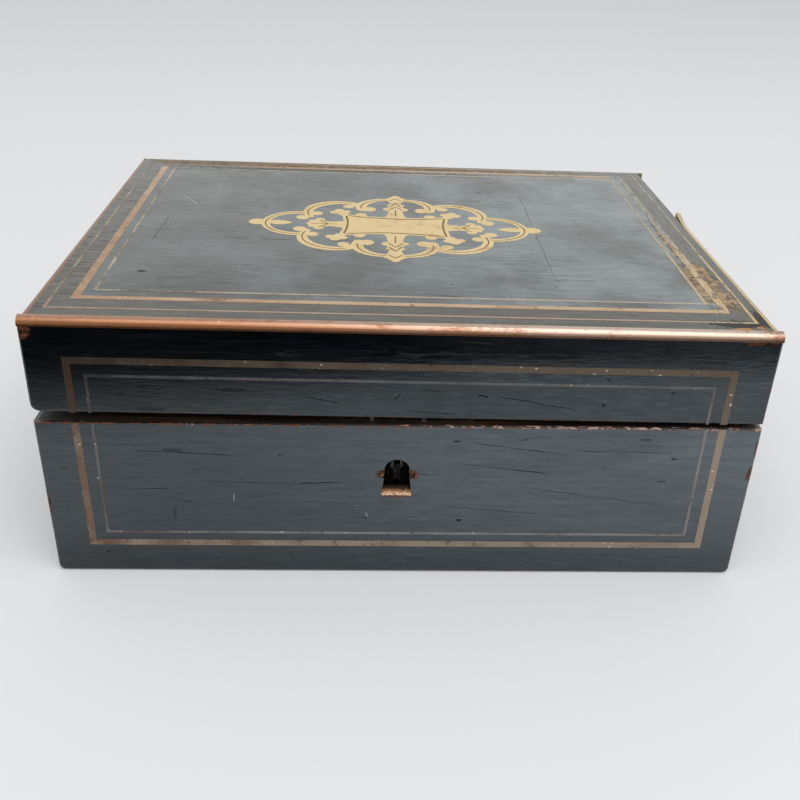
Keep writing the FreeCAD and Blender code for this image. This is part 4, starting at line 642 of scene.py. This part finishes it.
print(len(made), "veneers dressed")

# %% [markdown]
# The lines are strips of copper-coloured metal that have gone brown. Two tones follow
# a slow noise along the strip, small bright pits show where it was rubbed, and dirt
# sits on it in places. The same recipe serves for the thin and the wide lines. The
# lines of the top have worn differently on each side, so a second function goes over
# them: pinkish in front, brown and dark at the back, yellow and torn at the right.

# %% Stringing
BASE_WIDE = ((0.17, 0.105, 0.075, 1), (0.32, 0.255, 0.195, 1))
BASE_THIN = ((0.11, 0.098, 0.09, 1), (0.24, 0.23, 0.225, 1))
LID_WIDE = ((0.10, 0.066, 0.048, 1), (0.18, 0.140, 0.105, 1))
LID_THIN = ((0.08, 0.073, 0.068, 1), (0.18, 0.175, 0.172, 1))
TOP_WIDE = ((0.35, 0.19, 0.10, 1), (0.55, 0.37, 0.225, 1))
TOP_THIN = ((0.13, 0.095, 0.068, 1), (0.46, 0.37, 0.28, 1))
PINK_LINE = (0.40, 0.235, 0.175, 1)
BROWN_LINE = (0.31, 0.155, 0.06, 1)
YELLOW_LINE = (0.56, 0.40, 0.22, 1)
FADED_LINE = (0.23, 0.235, 0.21, 1)
DARK_GAP = (0.085, 0.075, 0.060, 1)
COPPER_PIT = (0.75, 0.64, 0.52, 1)
GRIME = (0.020, 0.014, 0.010, 1)


def top_wear(finish, colour, slow, fine, seed):
    """The wear of the top's lines, side by side."""
    front = finish.rise(finish.y, -79.0, -82.0)
    back = finish.rise(finish.y, 80.0, 84.0) * (1.0 - 0.7 * finish.rise(finish.x, -90, 60))
    right = finish.rise(finish.x, 104.0, 107.0)
    far = finish.rise(finish.y + 90 * (slow - 0.5), -40.0, 20.0)
    tear_noise = finish.noise(1.6, (1, 0.2, 1), detail=4, rough=0.65, seed=seed + 13)
    colour = finish.blend(0.6 * front, colour, PINK_LINE)
    colour = finish.blend(0.9 * back, colour, BROWN_LINE)
    colour = finish.blend(0.7 * back * finish.rise(finish.x, -45.0, -95.0), colour, DARK_GAP)
    colour = finish.blend(right * finish.rise(fine + slow, 0.75, 1.05), colour, YELLOW_LINE)
    colour = finish.blend(0.85 * right * far, colour, FADED_LINE)
    return finish.blend(0.7 * right * finish.rise(tear_noise, 0.50, 0.60), colour, DARK_GAP)


def stringing(name, on_lid, tones, seed, top=False):
    finish = Finish(name, on_lid)
    slow = finish.noise(16, detail=4, rough=0.6, seed=seed)
    fine = finish.noise(0.9, detail=4, rough=0.65, seed=seed + 2)
    pits = finish.rise(finish.dots(2.0, (0.6, 1, 1), seed=seed + 5), 0.20, 0.10)
    pits = pits * finish.rise(slow, 0.46, 0.58)
    dirt = finish.rise(finish.noise(3, detail=5, seed=seed + 9), 0.60, 0.72)
    to_right = finish.rise(finish.x, -120, 0)
    bright = finish.rise(slow + 0.5 * (fine - 0.5) + 0.25 * to_right, 0.35, 0.80)
    colour = finish.blend(bright, *tones)
    if top:
        colour = top_wear(finish, colour, slow, fine, seed)
    colour = finish.blend(0.5 * dirt, colour, GRIME)
    colour = finish.blend(0.8 * pits, colour, COPPER_PIT)
    roughness = 0.20 + 0.2 * fine + 0.15 * dirt
    return finish.send(colour, roughness, 0.85, height=fine - 0.5 * dirt, depth=0.015)


dress(stringing("stringing_base_wide", False, BASE_WIDE, 10.0), "base_wide_stringing")
dress(stringing("stringing_base_thin", False, BASE_THIN, 15.0), "base_thin_stringing")
dress(stringing("stringing_lid_wide", True, LID_WIDE, 20.0), "lid_front_wide_stringing")
dress(stringing("stringing_lid_thin", True, LID_THIN, 25.0), "lid_front_thin_stringing")
dress(stringing("stringing_top_wide", True, TOP_WIDE, 30.0, top=True), "top_wide_stringing")
dress(stringing("stringing_top_thin", True, TOP_THIN, 35.0, top=True),
      "top_inner_stringing", "top_outer_stringing")
print("stringing dressed,", len(made), "pieces so far")

# %% [markdown]
# The ornament is sawn from one brass sheet and engraved. Dirt has settled in the
# engraved lines, so the finish measures how deep a point lies below the sheet's face
# and turns brown there. The face is pale gold with a soft, slightly scratched gloss.

# %% Inlaid ornament
PALE_GOLD = (0.74, 0.57, 0.31, 1)
DULL_GOLD = (0.56, 0.38, 0.19, 1)
ENGRAVED_BROWN = (0.25, 0.155, 0.080, 1)
INLAY_FACE, ENGRAVING_DEPTH = 100.56, 0.3


def engraved_brass(name):
    finish = Finish(name, True)
    slow = finish.noise(9, detail=4, rough=0.6)
    fine = finish.noise(0.9, (0.35, 1, 1), detail=3)
    groove = finish.rise(INLAY_FACE - finish.z, 0.02, 0.1 * ENGRAVING_DEPTH + 0.03)
    dulled = finish.rise(slow + 0.4 * (fine - 0.5), 0.52, 0.72)
    colour = finish.blend(dulled, PALE_GOLD, DULL_GOLD)
    colour = finish.blend(groove, colour, ENGRAVED_BROWN)
    roughness = 0.30 + 0.20 * fine + 0.12 * slow + 0.25 * groove
    return finish.send(colour, roughness, 0.95 - 0.6 * groove, height=fine, depth=0.012)


dress(engraved_brass("engraved_brass"), "cartouche_inlay")
print("ornament dressed,", len(made), "pieces so far")

# %% [markdown]
# The edges of the lid's top are bound with thin metal beads, each worn differently: the
# front one is rubbed to bright pinkish copper, the back and left ones are dull, and the
# right one, which has sprung loose, is yellow brass. One recipe with a clean tone at each
# end, a dull tone and a share of dirt gives all four. The dull tone also darkens each bead's
# lower half, which is painted shade. The two pins that hold the front bead are dirtier.

# %% Edge beads
ROSE_COPPER = (0.48, 0.285, 0.20, 1)
BLUSH_METAL = (0.54, 0.43, 0.36, 1)
RED_COPPER = (0.23, 0.090, 0.038, 1)
OLIVE_BRASS = (0.34, 0.30, 0.19, 1)
DIM_BRASS = (0.22, 0.19, 0.12, 1)
DULL_COPPER = (0.22, 0.12, 0.07, 1)
YELLOW_BRASS = (0.62, 0.47, 0.22, 1)
BROWN_BRASS = (0.38, 0.27, 0.12, 1)


def bead(name, left, right, dull, dirty, along, seed):
    """A bead whose clean tone goes from left to right, with painted shade on its lower half."""
    finish = Finish(name, True)
    slow = finish.noise(10, SCUFFS[along], detail=4, rough=0.6, seed=seed)
    fine = finish.noise(0.8, SCUFFS[along], detail=4, rough=0.65, seed=seed + 3)
    dirt_noise = finish.noise(3, SCUFFS[along], detail=5, seed=seed + 7)
    dirt = finish.rise(dirt_noise, 0.72 - dirty, 0.82 - dirty)
    to_right = finish.rise(finish.x, -70.0, 70.0)
    lift = finish.z + 0.8 * (fine - 0.5) + 0.95 * to_right
    # painted shade: the lower half, facing the ground, takes the dull tone, less so at the right
    low = finish.rise(lift, TOP + 0.55, TOP - 1.45)
    dulled = finish.rise(slow + 0.7 * (fine - 0.5), 0.46, 0.70)
    colour = finish.blend(0.8 * dulled, finish.blend(to_right, left, right), dull)
    colour = finish.blend((0.95 - 0.25 * to_right) * low, colour, dull)
    colour = finish.blend(0.7 * dirt, colour, GRIME)
    roughness = 0.20 + 0.2 * fine + 0.2 * dirt
    return finish.send(colour, roughness, 0.92, height=fine - 0.4 * dirt, depth=0.035)


dress(bead("bead_front", ROSE_COPPER, BLUSH_METAL, RED_COPPER, 0.0, "x", 5.0), "lid_front_bead")
dress(bead("bead_back", OLIVE_BRASS, OLIVE_BRASS, DIM_BRASS, 0.04, "x", 15.0), "lid_back_bead")
dress(bead("bead_left", DULL_COPPER, DULL_COPPER, RED_COPPER, 0.08, "y", 25.0), "lid_left_bead")
dress(bead("bead_right", YELLOW_BRASS, YELLOW_BRASS, BROWN_BRASS, 0.0, "y", 35.0), "lid_right_bead")
dress(bead("bead_pin", ROSE_COPPER, ROSE_COPPER, RED_COPPER, 0.12, "x", 45.0), "bead_pins")
print("beads dressed,", len(made), "pieces so far")

# %% [markdown]
# Under the veneer is a plain carcass of reddish wood. It shows at the keyhole, on the
# underside and on the rims when the lid is up. Growth rings are noise drawn out along
# the board, pores are shorter dark dashes, and the rims are darkened as painted shade for
# the gap under the closed lid, with lighter streaks where the lid rubbed them. Round the
# keyhole the wood is torn and fresh.

# %% Carcass wood
HEARTWOOD = (0.125, 0.058, 0.028, 1)
SAPWOOD = (0.27, 0.145, 0.075, 1)
RIM_SHADE = (0.014, 0.010, 0.008, 1)
FRESH_WOOD, CHARRED_WOOD = (0.42, 0.165, 0.055, 1), (0.020, 0.009, 0.005, 1)
KEYHOLE = (((-1.5, -96.0, 42.0), (11, 12, 13)),)


def board(name, on_lid, along, seed, fresh=()):
    """Plain wood with its rim darkened as painted shade. Fresh holds the patches of torn wood."""
    finish = Finish(name, on_lid)
    rings = finish.noise(3.2, GRAIN[along], detail=6, rough=0.6, bend=0.5, seed=seed)
    pores = finish.rise(finish.noise(0.6, FIBRES[along], detail=2, seed=seed + 4), 0.60, 0.70)
    old = finish.noise(30, detail=4, seed=seed + 8)
    colour = finish.blend(finish.rise(rings, 0.35, 0.65), HEARTWOOD, SAPWOOD)
    colour = finish.blend(0.5 * finish.rise(old, 0.45, 0.7), colour, HEARTWOOD)
    colour = finish.blend(0.6 * pores, colour, GRIME)
    if on_lid:
        from_rim = finish.z - LID_RIM_MIDDLE + finish.y * LID_RIM_FALL
    else:
        from_rim = BASE_RIM - finish.z
    rim = finish.rise(from_rim, 0.6, 0.25)
    rubbed = finish.rise(finish.noise(6, GRAIN[along], detail=4, seed=seed + 12), 0.52, 0.66)
    # painted shade: the rims are darkened for the gap under the lid, lighter in rubbed streaks
    colour = finish.blend(rim * (0.95 - 0.6 * rubbed), colour, RIM_SHADE)
    for middle, reach in fresh:
        torn = finish.rise(finish.noise(1.1, detail=4, rough=0.65, seed=seed + 16), 0.50, 0.62)
        torn_wood = finish.blend(torn, CHARRED_WOOD, FRESH_WOOD)
        colour = finish.blend(finish.patch(middle, reach), colour, torn_wood)
    roughness = 0.55 + 0.2 * rings - 0.18 * rim
    return finish.send(colour, roughness, height=rings - 0.8 * pores, depth=0.05)


dress(board("wood_base_front", False, "x", 121.0, KEYHOLE), "base_front_board")
dress(board("wood_base_long", False, "x", 1.0), "base_back_board", "base_bottom_board")
dress(board("wood_base_side", False, "y", 31.0), "base_left_board", "base_right_board")
dress(board("wood_lid_long", True, "x", 61.0), "lid_front_rail", "lid_back_rail", "lid_top_board")
dress(board("wood_lid_side", True, "y", 91.0), "lid_left_rail", "lid_right_rail")
print("carcass dressed,", len(made), "pieces so far")

# %% [markdown]
# The foot of the keyhole is broken: a ledge of pale splintered wood slopes up from its
# lower edge to the lock. It starts as a block whose upper front edge is pulled down to
# make a slope. The slope is divided and its points are moved about at random, from a
# fixed seed, so that it looks torn and comes out the same each time.

# %% Broken foot of the keyhole
LEDGE_LOW, LEDGE_HIGH = Vector((-6.8, -96.8, 34.25)), Vector((3.8, -94.6, 37.2))
LEDGE_LIP = 0.4
LEDGE_CUTS, TEAR_REACH, TEAR_SEED = 15, 0.22, 3
NEAR = 0.01 * MM
SPLINTER = (0.80, 0.56, 0.37, 1)
SPLINTER_BROWN = (0.40, 0.19, 0.075, 1)
SPLINTER_SHADE = (0.012, 0.006, 0.003, 1)


def block(name, low, high):
    """A block between two corners in millimetres, its place in its mesh."""
    bpy.ops.object.select_all(action="DESELECT")
    low, high = Vector(low) * MM, Vector(high) * MM
    bpy.ops.mesh.primitive_cube_add(size=1, location=(low + high) / 2)
    item = bpy.context.object
    item.name = name
    item.scale = high - low
    bpy.ops.object.transform_apply(location=True, rotation=True, scale=True)
    return item


def splinters(name):
    """Pale at the foot of the ledge and brown above it; dark up at the lock and in the gaps, which
    is painted shade.
    """
    finish = Finish(name)
    torn = finish.noise(0.7, (1, 1, 0.4), detail=4, rough=0.7)
    lift = finish.z + 3.5 * (torn - 0.5)
    gaps = 0.8 * finish.rise(torn, 0.48, 0.40)
    brown = finish.rise(lift, LEDGE_LOW.z + 0.4, LEDGE_LOW.z + 1.5)
    # painted shade: near black up inside the keyhole and in the gaps between splinters
    dark = finish.rise(lift, LEDGE_LOW.z + 1.2, LEDGE_HIGH.z - 0.7).most(gaps)
    colour = finish.blend(brown, SPLINTER, SPLINTER_BROWN)
    colour = finish.blend(dark, colour, SPLINTER_SHADE)
    return finish.send(colour, 0.8, height=torn, depth=0.2, specular=0.2)


ledge = block("keyhole_splinters", LEDGE_LOW, LEDGE_HIGH)
bpy.ops.object.mode_set(mode="EDIT")
bpy.ops.mesh.select_all(action="DESELECT")
bpy.ops.mesh.select_mode(type="EDGE")
bpy.ops.object.mode_set(mode="OBJECT")
front, top = LEDGE_LOW.y * MM, LEDGE_HIGH.z * MM
for edge in ledge.data.edges:
    ends = [ledge.data.vertices[index].co for index in edge.vertices]
    edge.select = all(abs(end.y - front) < NEAR and abs(end.z - top) < NEAR for end in ends)
bpy.ops.object.mode_set(mode="EDIT")
bpy.ops.transform.translate(value=(0, 0, (LEDGE_LOW.z - LEDGE_HIGH.z + LEDGE_LIP) * MM))
bpy.ops.mesh.select_all(action="SELECT")
bpy.ops.mesh.subdivide(number_cuts=LEDGE_CUTS)
bpy.ops.transform.vertex_random(offset=TEAR_REACH * MM, seed=TEAR_SEED)
bpy.ops.object.mode_set(mode="OBJECT")
ledge.data.materials.append(splinters("broken_wood"))
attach(ledge, "base")
print("ledge with", len(ledge.data.polygons), "faces")

# %% [markdown]
# Hinges, lock and nails are hidden until the lid is raised or the box is turned over,
# but they are real metal too. A clean tone and a tarnished tone are mixed by noise, with
# a little bump for the worked surface. The lock's cap and pin, which can be seen through
# the keyhole, are near black with hardly any gloss, painted shade for the dark inside of
# the lock, so they have a dull finish of their own.

# %% Metal fittings
HINGE_BRASS, HINGE_TARNISH = (0.52, 0.37, 0.15, 1), (0.13, 0.085, 0.04, 1)
LOCK_STEEL, LOCK_RUST = (0.34, 0.33, 0.31, 1), (0.085, 0.042, 0.022, 1)
NAIL_IRON, NAIL_RUST = (0.16, 0.15, 0.14, 1), (0.07, 0.03, 0.015, 1)
SHADE_BLACK, SHADE_BROWN = (0.0016, 0.0017, 0.002, 1), (0.012, 0.005, 0.002, 1)


def old_metal(name, clean, tarnish, start, end, seed):
    """Metal that is clean where its noise is below start and tarnished above end."""
    finish = Finish(name)
    slow = finish.noise(5, detail=5, rough=0.65, seed=seed)
    fine = finish.noise(0.7, (0.2, 1, 1), detail=3, seed=seed + 3)
    spots = finish.rise(slow + 0.3 * (fine - 0.5), start, end)
    colour = finish.blend(spots, clean, tarnish)
    roughness = 0.3 + 0.25 * fine + 0.25 * spots
    metallic = 0.95 - 0.55 * spots
    return finish.send(colour, roughness, metallic, height=fine - 0.5 * spots, depth=0.02)


def shade_black_iron(name, gloss):
    # painted shade: near-black iron standing for the dark inside of the keyhole
    finish = Finish(name)
    flakes = finish.noise(1.2, detail=4, rough=0.6, seed=17.0)
    colour = finish.blend(finish.rise(flakes, 0.56, 0.70), SHADE_BLACK, SHADE_BROWN)
    roughness = 0.45 + 0.3 * flakes
    return finish.send(colour, roughness, height=flakes, depth=0.08, specular=gloss)


dress(old_metal("hinge_brass_old", HINGE_BRASS, HINGE_TARNISH, 0.50, 0.68, 2.0),
      "hinge_left_base_leaf", "hinge_right_base_leaf",
      "hinge_left_lid_leaf", "hinge_right_lid_leaf",
      "hinge_left_pin", "hinge_right_pin", "hinge_base_screws", "hinge_lid_screws")
dress(old_metal("lock_steel_old", LOCK_STEEL, LOCK_RUST, 0.50, 0.66, 12.0),
      "lock_case", "lock_bolt", "lock_spring", "lock_screws", "strike_plate", "strike_screws")
dress(shade_black_iron("shade_black_cap", 0.02), "lock_cap")
dress(shade_black_iron("shade_black_pin", 0.12), "lock_key_pin")
dress(old_metal("nail_iron_old", NAIL_IRON, NAIL_RUST, 0.40, 0.58, 22.0), "bottom_nails")
print("fittings dressed,", len(made), "pieces so far")

# %% [markdown]
# The inside is lined with cards covered in dark red cloth. Its weave could be modelled
# thread by thread, but at this size a bump is enough: waves along the three axes are
# multiplied in pairs, so that on any wall two of them cross.

# %% Lining cloth
CLOTH_RED, CLOTH_FADED_AND_HIGHLIGHT = (0.135, 0.018, 0.022, 1), (0.23, 0.060, 0.050, 1)
THREADS_PER_MM = 2.2


def lining_cloth(name):
    finish = Finish(name)
    across, deep, up = ((axis * (THREADS_PER_MM * math.pi)).wave()
                        for axis in (finish.x, finish.y, finish.z))
    height = across * deep + deep * up + up * across
    fade_noise = finish.noise(40, detail=5, rough=0.6)
    wear = finish.rise(finish.noise(7, detail=4, seed=4.0), 0.58, 0.74)
    colour = finish.blend(0.6 * finish.rise(fade_noise, 0.36, 0.74), CLOTH_RED, CLOTH_FADED_AND_HIGHLIGHT)
    colour = finish.blend(0.25 * wear, colour, GRIME)
    # painted highlight: the crests of the weave are paler
    colour = finish.blend(0.18 * finish.rise(height, 0.0, 1.0), colour, CLOTH_FADED_AND_HIGHLIGHT)
    finish.shader.inputs["Sheen Weight"].default_value = 0.12
    return finish.send(colour, 0.85, height=height, depth=0.05, specular=0.2)


cloth = lining_cloth("lining_cloth")
print("cloth with", THREADS_PER_MM, "threads to the millimetre")

# %% [markdown]
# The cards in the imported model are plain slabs, so each is made again here: a block at
# the card's size, its edges rounded as cloth rounds when it is turned over a card. The
# front card is cut away round the lock with a boolean. The lid's cards are turned by the
# lid's lean.

# %% Lining cards
CARD, CARD_EDGE, EDGE_STEPS = 1.0, 0.35 * MM, 3
ROOM_X, ROOM_Y = 114.8, 86.8
FLOOR_FOOT, BASE_CARD_HEAD = 7, 60
CEILING_FOOT, LID_CARD_FOOT = 91.3, 68.95
LOCK_GAP_LOW = (-28.7, -ROOM_Y - 2, 29.2)
LOCK_GAP_HIGH = (25.7, -ROOM_Y + 3, 64)


def soften(item):
    """Round every edge a little."""
    bpy.context.view_layer.objects.active = item
    bevel = item.modifiers.new("turned_edge", "BEVEL")
    bevel.width, bevel.segments = CARD_EDGE, EDGE_STEPS
    bpy.ops.object.modifier_apply(modifier=bevel.name)


def lining(name, node, body, cards, leaning):
    """Soften cards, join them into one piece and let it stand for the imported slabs."""
    for item in cards:
        soften(item)
    bpy.ops.object.select_all(action="DESELECT")
    for item in cards:
        item.select_set(True)
    bpy.context.view_layer.objects.active = cards[0]
    if len(cards) > 1:
        bpy.ops.object.join()
    item = bpy.context.object
    item.name = name
    if leaning:
        pivot = Matrix.Translation(LID_MIDDLE * MM)
        item.matrix_world = pivot @ Matrix.Rotation(LID_LEAN, 4, "Y") @ pivot.inverted()
        bpy.ops.object.transform_apply(location=True, rotation=True, scale=True)
    bpy.ops.object.shade_smooth_by_angle()
    item.data.materials.append(cloth)
    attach(item, body)
    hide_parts(node)
    made[node] = cloth.name


def level_card(name, foot):
    """A card over the whole floor or ceiling."""
    return block(name, (-ROOM_X, -ROOM_Y, foot), (ROOM_X, ROOM_Y, foot + CARD))


def wall_cards(owner, foot, head):
    """Four cards round the inside of the base or the lid, the front one first."""
    spans = {
        "front": ((-ROOM_X, -ROOM_Y), (ROOM_X, -ROOM_Y + CARD)),
        "back": ((-ROOM_X, ROOM_Y - CARD), (ROOM_X, ROOM_Y)),
        "left": ((-ROOM_X, -ROOM_Y + CARD), (-ROOM_X + CARD, ROOM_Y - CARD)),
        "right": ((ROOM_X - CARD, -ROOM_Y + CARD), (ROOM_X, ROOM_Y - CARD)),
    }
    return [block(f"{owner}_{end}_card", (*low, foot), (*high, head))
            for end, (low, high) in spans.items()]


floor_card = level_card("base_floor_card", FLOOR_FOOT)
lining("base_floor_cloth", "base_floor_lining", "base", [floor_card], False)

base_cards = wall_cards("base", FLOOR_FOOT + CARD, BASE_CARD_HEAD)
front_card = base_cards[0]
lock_gap = block("lock_gap", LOCK_GAP_LOW, LOCK_GAP_HIGH)
bpy.ops.object.select_all(action="DESELECT")
front_card.select_set(True)
bpy.context.view_layer.objects.active = front_card
opening = front_card.modifiers.new("lock_gap", "BOOLEAN")
opening.operation, opening.object = "DIFFERENCE", lock_gap
bpy.ops.object.modifier_apply(modifier=opening.name)
bpy.data.objects.remove(lock_gap)
lining("base_wall_cloth", "base_wall_linings", "base", base_cards, False)

ceiling_card = level_card("lid_ceiling_card", CEILING_FOOT)
lining("lid_ceiling_cloth", "lid_ceiling_lining", "lid", [ceiling_card], True)
lid_cards = wall_cards("lid", LID_CARD_FOOT, CEILING_FOOT)
lining("lid_wall_cloth", "lid_wall_linings", "lid", lid_cards, True)
print("four linings made,", len(set(nodes) - set(made)), "pieces without a finish")
